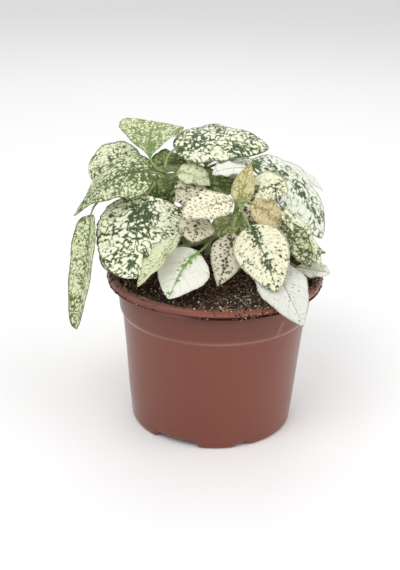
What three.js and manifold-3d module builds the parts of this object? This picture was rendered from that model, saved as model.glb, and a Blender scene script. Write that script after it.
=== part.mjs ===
// A young polka dot plant in a thin nursery pot: pot, potting soil and leafy stems.
// Millimetres, +Z up. The origin is the middle of the pot's floor, on the surface it stands on.
// The front of the plant faces -Y.

import * as THREE from 'three';
import { mergeVertices } from 'three/addons/utils/BufferGeometryUtils.js';
import Module from 'manifold-3d';

const wasm = await Module();
wasm.setup();

// Pot
const RIM_RADIUS = 60;
const POT_HEIGHT = 89;
const LIP_DEPTH = 5.5;
const LIP_WIDTH = 4.5;
const COLLAR_TOP_RADIUS = 54.6;
const COLLAR_BOTTOM_RADIUS = 53.2;
const STEP_HEIGHT = 67.5;
const STEP_WIDTH = 1.5;
const STEP_DROP = 2;
const FOOT_RADIUS = 46;
const FOOT_ROUNDING = 1.5;
const WALL = 1.2;
const PAD_RADIUS = 13;
const FLOOR_LIFT = 4;
const CHANNEL_SLOPE = 4;
const FEET_WIDTH = 6;
const WIDE_NOTCH = { from: -42, to: -10, lift: 3.5 };
const SMALL_NOTCH = { from: 18, to: 28, lift: 2.2 };
const NOTCH_REPEAT = 120;
const NOTCH_SLOPE = 5;
const NOTCH_TOP = 7;
const POT_SIDES = 48;
const HOLE_SIDES = 9;
const DRAIN_HOLES = 6;
const DRAIN_HOLE_RADIUS = 3.5;
const DRAIN_CIRCLE = 27;

// Soil and stems
const GAP = 0.3;
const FLOOR_CLEARANCE = 1;
const SOIL_EDGE_HEIGHT = 86;
const SOIL_CROWN = 3;
const STEM_RADIUS = 1.9;
const STEM_DEPTH = 12;
const STEM_HOLE_RADIUS = 2.6;
const STEM_SIDES = 8;
const STEM_STEPS = 9;
const SHOOT_RADIUS = 2;
const SHOOT_STEPS = 6;
const STALK_RADIUS = 0.85;
const STALK_SIDES = 5;
const STALK_STEPS = 3;

// Leaf blades
const BLADE_THICKNESS = 0.7;
const BLADE_ROWS = 7;
const SMALL_BLADE = 36;
const SMALL_BLADE_ROWS = 5;
const BLADE_HALF_COLUMNS = 2;
const BLADE_END_WIDTH = 0.5;
const WAVES_PER_BLADE = 3;

const degrees = THREE.MathUtils.degToRad;
const point = (p) => new THREE.Vector3(...p);

function solidOf(geometry) {
  const bare = geometry.clone();
  for (const name of Object.keys(bare.attributes)) {
    if (name !== 'position') {
      bare.deleteAttribute(name);
    }
  }
  const merged = mergeVertices(bare, 1e-4);
  return new wasm.Manifold(new wasm.Mesh({
    numProp: 3,
    vertProperties: new Float32Array(merged.attributes.position.array),
    triVerts: new Uint32Array(merged.index.array),
  }));
}

function geometryOf(solid) {
  const { vertProperties, triVerts } = solid.getMesh();
  const geometry = new THREE.BufferGeometry();
  geometry.setAttribute('position', new THREE.BufferAttribute(vertProperties, 3));
  geometry.setIndex(new THREE.BufferAttribute(triVerts, 1));
  geometry.computeVertexNormals();
  return geometry;
}

// A round bar along a curve, closed at both ends.
function bar(curve, radius, sides, steps) {
  const ring = [];
  for (let i = 0; i < sides; i += 1) {
    const turn = (2 * Math.PI * i) / sides;
    ring.push(new THREE.Vector2(radius * Math.cos(turn), radius * Math.sin(turn)));
  }
  const section = new THREE.Shape(ring);
  return new THREE.ExtrudeGeometry(section, { extrudePath: curve, steps, bevelEnabled: false });
}

// The foot is scalloped: three times round, a wide and a small notch lift its edge off the surface.
// Turns are counted in degrees from the front, towards +X.
function notchLift(x, y) {
  const turn = THREE.MathUtils.radToDeg(Math.atan2(x, -y));
  const ease = NOTCH_SLOPE / 2;
  let lift = 0;
  for (const notch of [WIDE_NOTCH, SMALL_NOTCH]) {
    const half = (notch.to - notch.from) / 2;
    const past = THREE.MathUtils.euclideanModulo(turn - notch.from, NOTCH_REPEAT);
    const offset = Math.min(Math.abs(past - half), Math.abs(past - half - NOTCH_REPEAT));
    lift += notch.lift * (1 - THREE.MathUtils.smoothstep(offset, half - ease, half + ease));
  }
  return lift;
}

function scallopFoot(geometry) {
  const place = geometry.attributes.position;
  const feetInside = FOOT_RADIUS - FEET_WIDTH;
  for (let i = 0; i < place.count; i += 1) {
    const x = place.getX(i);
    const y = place.getY(i);
    const z = place.getZ(i);
    const outer = THREE.MathUtils.smoothstep(Math.hypot(x, y), feetInside - 3, feetInside);
    const low = 1 - THREE.MathUtils.smoothstep(z, 2, NOTCH_TOP + 2);
    place.setZ(i, z + notchLift(x, y) * outer * low);
  }
}

// Radius of the wall's outside at a height between the foot and the step.
function wallRadius(height) {
  const top = COLLAR_BOTTOM_RADIUS - STEP_WIDTH;
  return THREE.MathUtils.lerp(FOOT_RADIUS, top, height / (STEP_HEIGHT - STEP_DROP));
}

// The floor from the axis to the foot's inner edge, raised by a height: a pad in the middle
// and feet at the edge stand on the surface, and a channel between them stands clear of it.
function floorProfile(rise) {
  const channelEnd = FOOT_RADIUS - FEET_WIDTH - 1;
  return [
    [0, rise],
    [PAD_RADIUS, rise],
    [PAD_RADIUS + CHANNEL_SLOPE, rise + FLOOR_LIFT],
    [channelEnd - CHANNEL_SLOPE, rise + FLOOR_LIFT],
    [channelEnd, rise],
  ];
}

// The wall's outside moved inwards by a distance, from just above the floor to under the lip.
function wallProfile(inset, bottom) {
  return [
    [wallRadius(bottom) - inset, bottom],
    [wallRadius(NOTCH_TOP + 3) - inset, NOTCH_TOP + 3],
    [COLLAR_BOTTOM_RADIUS - STEP_WIDTH - inset, STEP_HEIGHT - STEP_DROP],
    [COLLAR_BOTTOM_RADIUS - inset, STEP_HEIGHT],
    [COLLAR_TOP_RADIUS - inset, POT_HEIGHT - LIP_DEPTH - 0.5],
  ];
}

function lathe(profile, sides) {
  const points = profile.map(([radius, height]) => new THREE.Vector2(radius, height));
  const geometry = new THREE.LatheGeometry(points, sides);
  geometry.rotateX(Math.PI / 2);
  return geometry;
}

// What is taken out for an upright round hole, centred at a height.
function uprightHole(x, y, z, radius, depth) {
  const hole = new THREE.CylinderGeometry(radius, radius, depth, HOLE_SIDES);
  hole.rotateX(Math.PI / 2);
  hole.translate(x, y, z);
  return solidOf(hole);
}

function makePot() {
  const lip = [
    [RIM_RADIUS - 0.8, POT_HEIGHT - LIP_DEPTH],
    [RIM_RADIUS, POT_HEIGHT - LIP_DEPTH + 0.8],
    [RIM_RADIUS, POT_HEIGHT - 1.4],
    [RIM_RADIUS - 1.2, POT_HEIGHT],
    [RIM_RADIUS - LIP_WIDTH + 1, POT_HEIGHT],
    [RIM_RADIUS - LIP_WIDTH, POT_HEIGHT - 1.2],
  ];
  const outside = [
    ...floorProfile(0),
    [FOOT_RADIUS - FOOT_ROUNDING, 0],
    ...wallProfile(0, FOOT_ROUNDING),
  ];
  const inside = [
    ...floorProfile(WALL),
    [FOOT_RADIUS - WALL - FOOT_ROUNDING, WALL],
    ...wallProfile(WALL, FOOT_ROUNDING + WALL),
  ];
  const geometry = lathe([...outside, ...lip, ...inside.reverse()], POT_SIDES);
  scallopFoot(geometry);
  let pot = solidOf(geometry);
  for (let i = 0; i < DRAIN_HOLES; i += 1) {
    const turn = (2 * Math.PI * (i + 0.5)) / DRAIN_HOLES;
    const x = DRAIN_CIRCLE * Math.cos(turn);
    const y = DRAIN_CIRCLE * Math.sin(turn);
    pot = pot.subtract(uprightHole(x, y, FLOOR_LIFT, DRAIN_HOLE_RADIUS, 2 * FLOOR_LIFT));
  }
  return pot;
}

// Stems: each rises from the soil through the points of its route, in mm. Its joints, where
// pairs of leaves grow, are given as shares of the route. A shoot is a side branch.
const stems = [
  {
    name: 'leafy_stem_1',
    route: [[-14, 8, 92], [-18, 7, 106], [-25, 7, 124], [-30, 8, 141]],
    joints: [0.35, 0.7, 0.97],
  },
  {
    name: 'leafy_stem_2',
    route: [[6, -8, 92], [7, -10, 104], [9, -13, 119], [11, -15, 134]],
    joints: [0.3, 0.66, 0.97],
    shoot: { joint: 0, route: [[4, -14, 114], [-10, -18, 111], [-25, -22, 107]] },
  },
  {
    name: 'leafy_stem_3',
    route: [[23, 12, 92], [24, 12, 106], [25, 12, 124], [25, 10, 140]],
    joints: [0.3, 0.65, 0.97],
  },
  {
    name: 'leafy_stem_4',
    route: [[-4, 24, 92], [-5, 26, 106], [-6, 29, 122], [-7, 32, 138]],
    joints: [0.35, 0.7, 0.97],
  },
  {
    name: 'leafy_stem_5',
    route: [[15, 28, 92], [17, 30, 102], [20, 34, 114], [22, 37, 125]],
    joints: [0.4, 0.7, 0.97],
  },
];

// Leaves placed by hand: the blade's midrib runs from base through middle to tip, in mm, and its
// upper side faces the given way, at the tip the tipFace way if the blade is twisted. A positive
// fold makes a trough along the midrib, in degrees, and a negative one a ridge. The stalk starts
// at a joint of the stem, or at a share of its shoot. Leaves placed by growth have a stalk that
// points a turn from the front towards +X and rises, and a blade that droops from there.
const leaves = {
  leafy_stem_1: [
    {
      name: 'back_left', joint: 2, width: 38, fold: -6, taper: 0.58, widest: 0.36,
      base: [-35, 6, 142], middle: [-59, 2, 138], tip: [-78, -3, 119], face: [-0.1, -0.55, 0.8],
      tipFace: [-0.65, 0.03, 0.72],
    },
    {
      name: 'hanging_left', joint: 1, width: 25, fold: 15, taper: 0.36, widest: 0.4, wave: 0.3,
      base: [-68, -10, 122], middle: [-70, -18, 98], tip: [-76, -24, 61], face: [-0.75, -0.55, 0.15],
    },
    {
      name: 'upper_left', joint: 2, width: 33, fold: -5, taper: 0.5, widest: 0.58,
      base: [-43, 21, 145], middle: [-59, 27, 141], tip: [-73, 30, 133], face: [-0.3, -0.6, 0.75],
    },
    {
      name: 'fan', joint: 2, width: 38, fold: 12, taper: 0.9, widest: 0.66,
      base: [-37, 10, 148], middle: [-38, 26, 156], tip: [-36, 44, 161], face: [0, -0.6, 0.8],
    },
    {
      name: 'small_back', joint: 2, width: 21, fold: 10,
      base: [-36, 10, 143], middle: [-26, 14, 145], tip: [-15, 18, 142], face: [0, -0.4, 0.9],
    },
    {
      name: 'dark_inner', joint: 2, width: 21, fold: 8,
      base: [-24, 6, 138], middle: [-6, 3, 137], tip: [12, 3, 135], face: [0, -0.6, 0.8],
    },
    {
      name: 'top', joint: 2, width: 36, fold: -6, taper: 0.55, widest: 0.38,
      base: [-24, 15, 153], middle: [1, 18, 158], tip: [28, 18, 154], face: [0, -0.35, 0.94],
    },
    {
      name: 'round_left', joint: 2, width: 49, fold: -10, taper: 0.42, widest: 0.34,
      base: [-38, -4, 132], middle: [-42, -27, 117], tip: [-44, -45, 100], face: [-0.1, -0.6, 0.8],
    },
    {
      name: 'under_round', joint: 0, width: 26, fold: -5,
      base: [-40, -7, 108], middle: [-51, -18, 105], tip: [-58, -29, 98], face: [-0.2, -0.4, 0.9],
    },
    {
      name: 'shaded_low', joint: 1, width: 22, fold: 5, taper: 0.5,
      base: [-23, 0, 134], middle: [-16, -4, 135], tip: [-9, -11, 126], face: [0, -0.5, 0.8],
    },
    {
      name: 'shaded_high', joint: 2, width: 16, fold: 5,
      base: [-22, 5, 142], middle: [-14, 2, 143], tip: [-4, -2, 138], face: [0, -0.5, 0.8],
    },
    {
      name: 'inner_left', joint: 1, width: 11, fold: 10,
      base: [-31, 3, 126], middle: [-33, 2, 134], tip: [-33, 3, 142], face: [-0.2, -0.9, 0.3],
    },
    {
      name: 'inner_right', joint: 1, width: 11, fold: 10,
      base: [-26, 3, 127], middle: [-24, 3, 134], tip: [-22, 4, 141], face: [0.1, -0.9, 0.3],
    },
    { name: 'low_left', joint: 0, turn: 265, rise: 10, droop: 35, stalk: 14, length: 30, width: 25 },
  ],
  leafy_stem_2: [
    {
      name: 'young', joint: 2, width: 13, fold: 15, widest: 0.35,
      base: [12, -14, 132], middle: [14, -12, 142], tip: [17, -10, 153], face: [0, -0.9, 0.4],
    },
    {
      name: 'tan', joint: 2, width: 16, fold: 8,
      base: [18, -18, 134], middle: [26, -20, 129], tip: [34, -21, 122], face: [0, -0.8, 0.6],
    },
    {
      name: 'small_beige', joint: 2, width: 8, fold: 8,
      base: [13, -17, 132], middle: [16, -19, 130], tip: [20, -20, 124], face: [0, -0.8, 0.6],
    },
    {
      name: 'cream_right', joint: 2, width: 20, fold: 5,
      base: [17, -12, 136], middle: [27, -12, 141], tip: [37, -14, 138], face: [-0.1, -0.6, 0.8],
    },
    {
      name: 'cream_left', joint: 2, width: 21, fold: 5,
      base: [8, -18, 135], middle: [-5, -26, 134], tip: [-18, -36, 131], face: [0, -0.5, 0.85],
    },
    {
      name: 'small_middle', joint: 1, width: 20, fold: 5,
      base: [-9, -20, 126], middle: [-11, -28, 122], tip: [-12, -35, 117], face: [0, -0.8, 0.6],
    },
    {
      name: 'joint_green', joint: 1, width: 14, fold: 10,
      base: [11, -16, 125], middle: [4, -20, 121], tip: [-5, -22, 118], face: [0, -0.8, 0.6],
    },
    {
      name: 'joint_low', joint: 2, width: 10, fold: 8,
      base: [14, -17, 129], middle: [12, -19, 123], tip: [10, -19, 115], face: [0.1, -0.95, 0.2],
    },
    {
      name: 'front_striped', joint: 2, width: 30, fold: -8, taper: 0.62, widest: 0.4,
      base: [17, -27, 124], middle: [24, -42, 115], tip: [31, -55, 99], face: [0, -0.8, 0.6],
    },
    {
      name: 'beige', joint: 1, width: 19, fold: 5, taper: 0.85,
      base: [8, -23, 119], middle: [6, -35, 110], tip: [1, -45, 97], face: [0, -0.8, 0.6],
    },
    {
      name: 'edge_right', joint: 1, width: 13, fold: 8,
      base: [32, -15, 131], middle: [45, -23, 119], tip: [56, -30, 103], face: [0.35, -0.45, 0.8],
    },
    {
      name: 'olive_right', joint: 1, width: 17, fold: 10,
      base: [31, -16, 122], middle: [40, -30, 118], tip: [49, -39, 106], face: [0.2, -0.75, 0.6],
    },
    {
      name: 'over_rim', joint: 0, width: 29, fold: -5, taper: 0.85,
      base: [27, -33, 109], middle: [35, -49, 100], tip: [45, -62, 83], face: [0.3, -0.7, 0.6],
    },
    {
      name: 'front_white', share: 0.45, width: 29, fold: -5,
      base: [-9, -33, 111], middle: [-17, -44, 106], tip: [-24, -54, 93], face: [-0.1, -0.75, 0.65],
    },
    {
      name: 'folded_left', share: 0.5, width: 18, fold: 10,
      base: [-20, -33, 121], middle: [-29, -45, 112], tip: [-40, -53, 99], face: [-0.65, -0.33, 0.6],
    },
  ],
  leafy_stem_3: [
    {
      name: 'big_right', joint: 2, width: 41, fold: -8, taper: 0.62, widest: 0.5,
      base: [18, 5, 149], middle: [42, 4, 138], tip: [58, -4, 110], face: [0.45, -0.35, 0.82],
    },
    {
      name: 'far_right', joint: 2, width: 22, fold: -5,
      base: [31, 33, 140], middle: [48, 35, 137], tip: [61, 32, 126], face: [0.3, 0, 0.95],
    },
    {
      name: 'under_top', joint: 2, width: 16, fold: 0,
      base: [17, 2, 147], middle: [5, -3, 148], tip: [-3, -5, 145], face: [0, -0.2, 1],
    },
    {
      name: 'rim_right', joint: 1, width: 13, fold: 5,
      base: [44, -17, 98], middle: [53, -24, 99], tip: [61, -28, 99], face: [0.2, -0.5, 0.8],
    },
    { name: 'side_right', joint: 1, turn: 115, rise: 5, droop: 45, stalk: 8, length: 30, width: 22 },
    { name: 'low_right', joint: 0, turn: 85, rise: 0, droop: 30, stalk: 12, length: 28, width: 22 },
  ],
  leafy_stem_4: [
    { name: 'back_1', joint: 2, turn: 175, rise: 28, droop: 70, stalk: 9, length: 46, width: 34 },
    { name: 'back_2', joint: 2, turn: 235, rise: 18, droop: 60, stalk: 10, length: 42, width: 31 },
    { name: 'back_3', joint: 2, turn: 112, rise: 22, droop: 60, stalk: 9, length: 38, width: 27 },
    { name: 'back_young', joint: 2, turn: 20, rise: 60, droop: 20, stalk: 4, length: 16, width: 10 },
    { name: 'back_4', joint: 1, turn: 205, rise: 12, droop: 55, stalk: 14, length: 46, width: 34 },
    { name: 'back_5', joint: 1, turn: 264, rise: 10, droop: 40, stalk: 14, length: 38, width: 28 },
    { name: 'back_6', joint: 0, turn: 188, rise: 8, droop: 40, stalk: 13, length: 36, width: 28 },
    { name: 'back_11', joint: 0, turn: 242, rise: 4, droop: 30, stalk: 14, length: 34, width: 26 },
    { name: 'back_12', joint: 1, turn: 150, rise: 24, droop: 55, stalk: 8, length: 34, width: 25 },
  ],
  leafy_stem_5: [
    { name: 'back_7', joint: 2, turn: 140, rise: 15, droop: 60, stalk: 9, length: 42, width: 31 },
    { name: 'back_8', joint: 2, turn: 95, rise: 10, droop: 50, stalk: 8, length: 32, width: 25 },
    { name: 'back_9', joint: 1, turn: 180, rise: 12, droop: 50, stalk: 9, length: 36, width: 27 },
    { name: 'back_10', joint: 0, turn: 104, rise: 5, droop: 35, stalk: 10, length: 32, width: 25 },
    { name: 'back_13', joint: 0, turn: 172, rise: 4, droop: 35, stalk: 10, length: 34, width: 26 },
    { name: 'small_young', joint: 2, turn: 350, rise: 55, droop: 20, stalk: 4, length: 14, width: 9 },
  ],
};

function routeOf(points) {
  return new THREE.CatmullRomCurve3(points.map(point));
}

// A stem's route, carried down to the foot of its hole in the soil.
function stemRoute(stem) {
  const [x, y] = stem.route[0];
  return routeOf([[x, y, SOIL_EDGE_HEIGHT - STEM_DEPTH + GAP], ...stem.route]);
}

function jointPlace(stem, joint) {
  return routeOf(stem.route).getPoint(stem.joints[joint]);
}

function shootRoute(stem) {
  return routeOf([jointPlace(stem, stem.shoot.joint).toArray(), ...stem.shoot.route]);
}

// A leaf with the points of its midrib, whichever way it is placed, and where its stalk starts.
function placedLeaf(stem, leaf) {
  const whole = { wave: 0.8, fold: -6, taper: 0.72, widest: 0.455, ...leaf };
  whole.start = leaf.share === undefined
    ? jointPlace(stem, leaf.joint)
    : shootRoute(stem).getPoint(leaf.share * 0.97);
  if (leaf.base === undefined) {
    const turn = degrees(leaf.turn);
    const aim = (rise, reach) => new THREE.Vector3(
      reach * Math.cos(degrees(rise)) * Math.sin(turn),
      -reach * Math.cos(degrees(rise)) * Math.cos(turn),
      reach * Math.sin(degrees(rise)),
    );
    const base = whole.start.clone().add(aim(leaf.rise, leaf.stalk));
    const middle = base.clone().add(aim(leaf.rise - 0.3 * leaf.droop, leaf.length / 2));
    const tip = middle.clone().add(aim(leaf.rise - 0.8 * leaf.droop, leaf.length / 2));
    whole.base = base.toArray();
    whole.middle = middle.toArray();
    whole.tip = tip.toArray();
    whole.face = aim(leaf.rise - 0.5 * leaf.droop + 90, 1).toArray();
  }
  return whole;
}

// Where the midrib is at a share of the blade's length, which way it runs there, which way is
// across it, and which way the upper side looks.
function midribOf(leaf) {
  const base = point(leaf.base);
  const tip = point(leaf.tip);
  const bend = point(leaf.middle).multiplyScalar(2).addScaledVector(base, -0.5).addScaledVector(tip, -0.5);
  const curve = new THREE.QuadraticBezierCurve3(base, bend, tip);
  const face = point(leaf.face).normalize();
  const tipFace = point(leaf.tipFace ?? leaf.face).normalize();
  return (share) => {
    const along = curve.getTangent(share);
    const across = new THREE.Vector3().crossVectors(along, face.clone().lerp(tipFace, share)).normalize();
    const up = new THREE.Vector3().crossVectors(across, along);
    return { place: curve.getPoint(share), along, across, up };
  };
}

// Half the blade's width at a share of its length: ovate, and widest at a given share of it.
function halfWidth(leaf, share) {
  const skew = Math.log(0.5) / Math.log(leaf.widest);
  const swell = Math.max(0, Math.sin(Math.PI * share ** skew)) ** leaf.taper;
  return Math.max(BLADE_END_WIDTH / 2, (leaf.width / 2) * swell);
}

// A point of the blade's middle surface. Side runs from -1 at one edge to 1 at the other.
function bladePoint(leaf, midrib, share, side) {
  const { place, across, up } = midrib(share);
  const half = halfWidth(leaf, share);
  const fold = degrees(leaf.fold);
  const wave = Math.sin(2 * Math.PI * WAVES_PER_BLADE * share + Math.sign(side)) * side * side;
  const sideRise = half * Math.sin(fold) * Math.abs(side) ** 1.4;
  const height = sideRise + leaf.wave * wave * Math.sin(Math.PI * share);
  return place.addScaledVector(across, half * side * Math.cos(fold)).addScaledVector(up, height);
}

// Which way the upper side looks at a point of the blade.
function bladeNormal(leaf, midrib, share, side) {
  const lengthwise = bladePoint(leaf, midrib, Math.min(1, share + 0.02), side)
    .sub(bladePoint(leaf, midrib, Math.max(0, share - 0.02), side));
  const crosswise = bladePoint(leaf, midrib, share, Math.min(1, side + 0.1))
    .sub(bladePoint(leaf, midrib, share, Math.max(-1, side - 0.1)));
  return crosswise.cross(lengthwise).normalize();
}

// A blade is one sheet of even thickness, split into the same triangles on both faces.
function bladeGeometry(leaf) {
  const midrib = midribOf(leaf);
  const rows = point(leaf.base).distanceTo(point(leaf.tip)) < SMALL_BLADE ? SMALL_BLADE_ROWS : BLADE_ROWS;
  const columns = 2 * BLADE_HALF_COLUMNS;
  const upper = [];
  const lower = [];
  for (let row = 0; row <= rows; row += 1) {
    const share = (1 - Math.cos((Math.PI * row) / rows)) / 2;
    for (let column = 0; column <= columns; column += 1) {
      const side = column / BLADE_HALF_COLUMNS - 1;
      const normal = bladeNormal(leaf, midrib, share, side);
      const middle = bladePoint(leaf, midrib, share, side);
      upper.push(middle.clone().addScaledVector(normal, BLADE_THICKNESS / 2));
      lower.push(middle.addScaledVector(normal, -BLADE_THICKNESS / 2));
    }
  }
  const count = upper.length;
  const index = [];
  const at = (row, column) => row * (columns + 1) + column;
  const wall = (a, b) => index.push(b, a, a + count, b, a + count, b + count);
  for (let row = 0; row < rows; row += 1) {
    for (let column = 0; column < columns; column += 1) {
      const [a, b] = [at(row, column), at(row, column + 1)];
      const [d, c] = [at(row + 1, column), at(row + 1, column + 1)];
      const corners = column < BLADE_HALF_COLUMNS ? [a, b, c, a, c, d] : [a, b, d, b, c, d];
      for (let i = 0; i < corners.length; i += 3) {
        const [p, q, r] = corners.slice(i, i + 3);
        index.push(p, q, r, r + count, q + count, p + count);
      }
    }
    wall(at(row + 1, 0), at(row, 0));
    wall(at(row, columns), at(row + 1, columns));
  }
  for (let column = 0; column < columns; column += 1) {
    wall(at(0, column), at(0, column + 1));
    wall(at(rows, column + 1), at(rows, column));
  }
  const geometry = new THREE.BufferGeometry();
  geometry.setFromPoints([...upper, ...lower]);
  geometry.setIndex(index);
  return geometry;
}

// The stalk leaves the stem and ends just inside the blade, in line with its midrib.
function stalkGeometry(leaf) {
  const { place, along } = midribOf(leaf)(0);
  const reach = leaf.start.distanceTo(place) * 0.4;
  const lift = new THREE.Vector3(0, 0, reach * 0.3);
  const curve = new THREE.CubicBezierCurve3(
    leaf.start,
    leaf.start.clone().lerp(place, 0.3).add(lift),
    place.clone().addScaledVector(along, -reach),
    place.clone().addScaledVector(along, 1),
  );
  return bar(curve, STALK_RADIUS, STALK_SIDES, STALK_STEPS);
}

function makeLeafyStem(stem) {
  let solid = solidOf(bar(stemRoute(stem), STEM_RADIUS, STEM_SIDES, STEM_STEPS));
  if (stem.shoot) {
    solid = solid.add(solidOf(bar(shootRoute(stem), SHOOT_RADIUS, STEM_SIDES, SHOOT_STEPS)));
  }
  for (const leaf of leaves[stem.name]) {
    const whole = placedLeaf(stem, leaf);
    solid = solid.add(solidOf(stalkGeometry(whole)));
    solid = solid.add(solidOf(bladeGeometry(whole)));
  }
  return solid;
}

// Soil fills the pot, a little clear of its wall and of the folds of its floor, and is heaped
// in the middle.
function soilTop(x, y) {
  const radius = Math.hypot(x, y) / (COLLAR_TOP_RADIUS - WALL - GAP);
  const lumps = Math.sin(x / 9 + 1) * Math.cos(y / 7) + 0.6 * Math.sin(x / 5 - y / 6);
  return SOIL_CROWN * (1 - radius * radius) + 0.7 * lumps * (1 - radius ** 6);
}

function makeSoil() {
  const inset = WALL + GAP;
  const bottom = inset + FLOOR_CLEARANCE;
  const edge = COLLAR_TOP_RADIUS - inset;
  const profile = [
    ...floorProfile(bottom),
    [FOOT_RADIUS - inset - FOOT_ROUNDING, bottom],
    ...wallProfile(inset, FOOT_ROUNDING + bottom),
    ...[0.99, 0.75, 0.5, 0.25, 0].map((share) => [share * edge, SOIL_EDGE_HEIGHT]),
  ];
  const geometry = lathe(profile, POT_SIDES);
  scallopFoot(geometry);
  const place = geometry.attributes.position;
  for (let i = 0; i < place.count; i += 1) {
    if (place.getZ(i) > SOIL_EDGE_HEIGHT - 0.1) {
      place.setZ(i, SOIL_EDGE_HEIGHT + soilTop(place.getX(i), place.getY(i)));
    }
  }
  let soil = solidOf(geometry);
  for (const stem of stems) {
    const [x, y] = stem.route[0];
    soil = soil.subtract(uprightHole(x, y, SOIL_EDGE_HEIGHT, STEM_HOLE_RADIUS, 2 * STEM_DEPTH));
  }
  return soil;
}

function piece(name, solid, color, roughness) {
  const material = new THREE.MeshStandardMaterial({ color, roughness, metalness: 0 });
  const mesh = new THREE.Mesh(geometryOf(solid), material);
  mesh.name = name;
  return mesh;
}

const plant = new THREE.Group();
plant.add(piece('pot', makePot(), '#8a5546', 0.45));
plant.add(piece('potting_soil', makeSoil(), '#33211c', 0.95));
for (const stem of stems) {
  plant.add(piece(stem.name, makeLeafyStem(stem), '#dfe6c8', 0.6));
}

export default plant;
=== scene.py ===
import math

import bpy
import numpy as np
from mathutils import Matrix, Vector, noise

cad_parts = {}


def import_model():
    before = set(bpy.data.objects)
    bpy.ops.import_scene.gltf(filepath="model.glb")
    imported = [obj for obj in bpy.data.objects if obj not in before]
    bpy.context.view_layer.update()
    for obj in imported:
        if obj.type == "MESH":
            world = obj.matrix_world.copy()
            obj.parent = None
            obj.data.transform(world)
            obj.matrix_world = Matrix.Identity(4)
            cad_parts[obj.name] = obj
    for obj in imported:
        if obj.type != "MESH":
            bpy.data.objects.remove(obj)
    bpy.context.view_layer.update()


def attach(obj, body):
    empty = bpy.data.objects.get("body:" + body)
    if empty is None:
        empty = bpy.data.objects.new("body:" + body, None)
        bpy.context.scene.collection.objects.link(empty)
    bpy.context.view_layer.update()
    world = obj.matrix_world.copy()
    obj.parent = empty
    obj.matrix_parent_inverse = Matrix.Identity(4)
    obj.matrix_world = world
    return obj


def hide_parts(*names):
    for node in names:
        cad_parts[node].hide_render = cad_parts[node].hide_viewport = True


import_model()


# Pot: a thin nursery pot of reddish-brown polypropylene sheet, vacuum-formed in one piece. Its lip is
# rolled over and has a groove round it, a small step lets pots stack, and feet and notches are pressed
# into its foot. Sizes are in mm and turns in degrees, from the front towards the right.
MM = 0.001
RIM_RADIUS = 60
POT_HEIGHT = 89
LIP_BOTTOM = 83.5
LIP_GROOVE = 84.8
GROOVE_WIDTH = 1.6
GROOVE_DEPTH = 1.1
COLLAR_TOP_RADIUS = 54.6
COLLAR_BOTTOM_RADIUS = 53.2
STEP_HEIGHT = 67.5
STEP_WIDTH = 1.5
STEP_DROP = 2
FOOT_RADIUS = 46
SHEET = 0.8
PAD_RADIUS = 13
FLOOR_LIFT = 4
CHANNEL_SLOPE = 4
FEET_WIDTH = 6
# Where each notch starts and ends, and how high it is.
NOTCHES = ((-42, -10, 3.5), (18, 28, 2.2))
NOTCH_REPEAT = 120
NOTCH_SLOPE = 5
NOTCH_TOP = 7
CREASE_TURN = 42.5
CREASE_TOP = 76
CREASE_LEAN = 3.5 / 8
CREASE_WIDTH = 0.9
CREASE_HEIGHT = 0.45
DRAIN_HOLES = 6
DRAIN_HOLE_RADIUS = 3.5
DRAIN_CIRCLE = 27
POT_SIDES = 240
HOLE_SIDES = 20
OUTLINE_GAP = 1.6


def linear(colour):
    """An sRGB hex colour as linear red, green, blue and alpha."""
    parts = [int(colour[i:i + 2], 16) / 255 for i in (1, 3, 5)]
    return tuple(p / 12.92 if p <= 0.04045 else ((p + 0.055) / 1.055) ** 2.4 for p in parts) + (1.0,)


def give(tree, node, inputs):
    """Gives inputs, named or numbered, a value or a link from a socket or a node's first output."""
    for name, value in inputs.items():
        if isinstance(value, bpy.types.Node):
            value = value.outputs[0]
        if isinstance(value, bpy.types.NodeSocket):
            tree.links.new(value, node.inputs[name])
        else:
            node.inputs[name].default_value = value


def add(tree, kind, inputs=None, **settings):
    """Adds a node with its settings and inputs."""
    node = tree.nodes.new(kind)
    for name, value in settings.items():
        setattr(node, name, value)
    give(tree, node, inputs or {})
    return node


def new_material(name):
    """A material with its node tree and its shader."""
    material = bpy.data.materials.new(name)
    material.use_nodes = True
    return material, material.node_tree, material.node_tree.nodes["Principled BSDF"]


def smoothstep(low, high, value):
    share = np.clip((value - low) / (high - low), 0, 1)
    return share * share * (3 - 2 * share)


def rounded(corners, steps=4):
    """An outline in mm whose corners, (radius, height, rounding), are softened."""
    outline = [np.array(corners[0][:2], float)]
    for before, corner, after in zip(corners, corners[1:], corners[2:]):
        place = np.array(corner[:2], float)
        back = np.array(before[:2]) - place
        ahead = np.array(after[:2]) - place
        reach = min(corner[2], np.linalg.norm(back) / 2.1, np.linalg.norm(ahead) / 2.1)
        start = place + back / np.linalg.norm(back) * reach
        end = place + ahead / np.linalg.norm(ahead) * reach
        for share in np.linspace(0, 1, steps):
            outline.append((1 - share) ** 2 * start + 2 * share * (1 - share) * place + share ** 2 * end)
    outline.append(np.array(corners[-1][:2], float))
    return outline


def spaced(outline, gap):
    """An outline with points added, so that none is further than a gap from the next."""
    points = [outline[0]]
    for a, b in zip(outline, outline[1:]):
        pieces = max(1, math.ceil(np.linalg.norm(b - a) / gap))
        points += [a + (b - a) * i / pieces for i in range(1, pieces + 1)]
    return np.array(points)


def bands(rows, sides, first=0):
    """Faces between rows of points that each go once round."""
    faces = []
    for low in range(first, first + (rows - 1) * sides, sides):
        for side in range(sides):
            after = (side + 1) % sides
            faces.append((low + side, low + after, low + sides + after, low + sides + side))
    return faces


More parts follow.
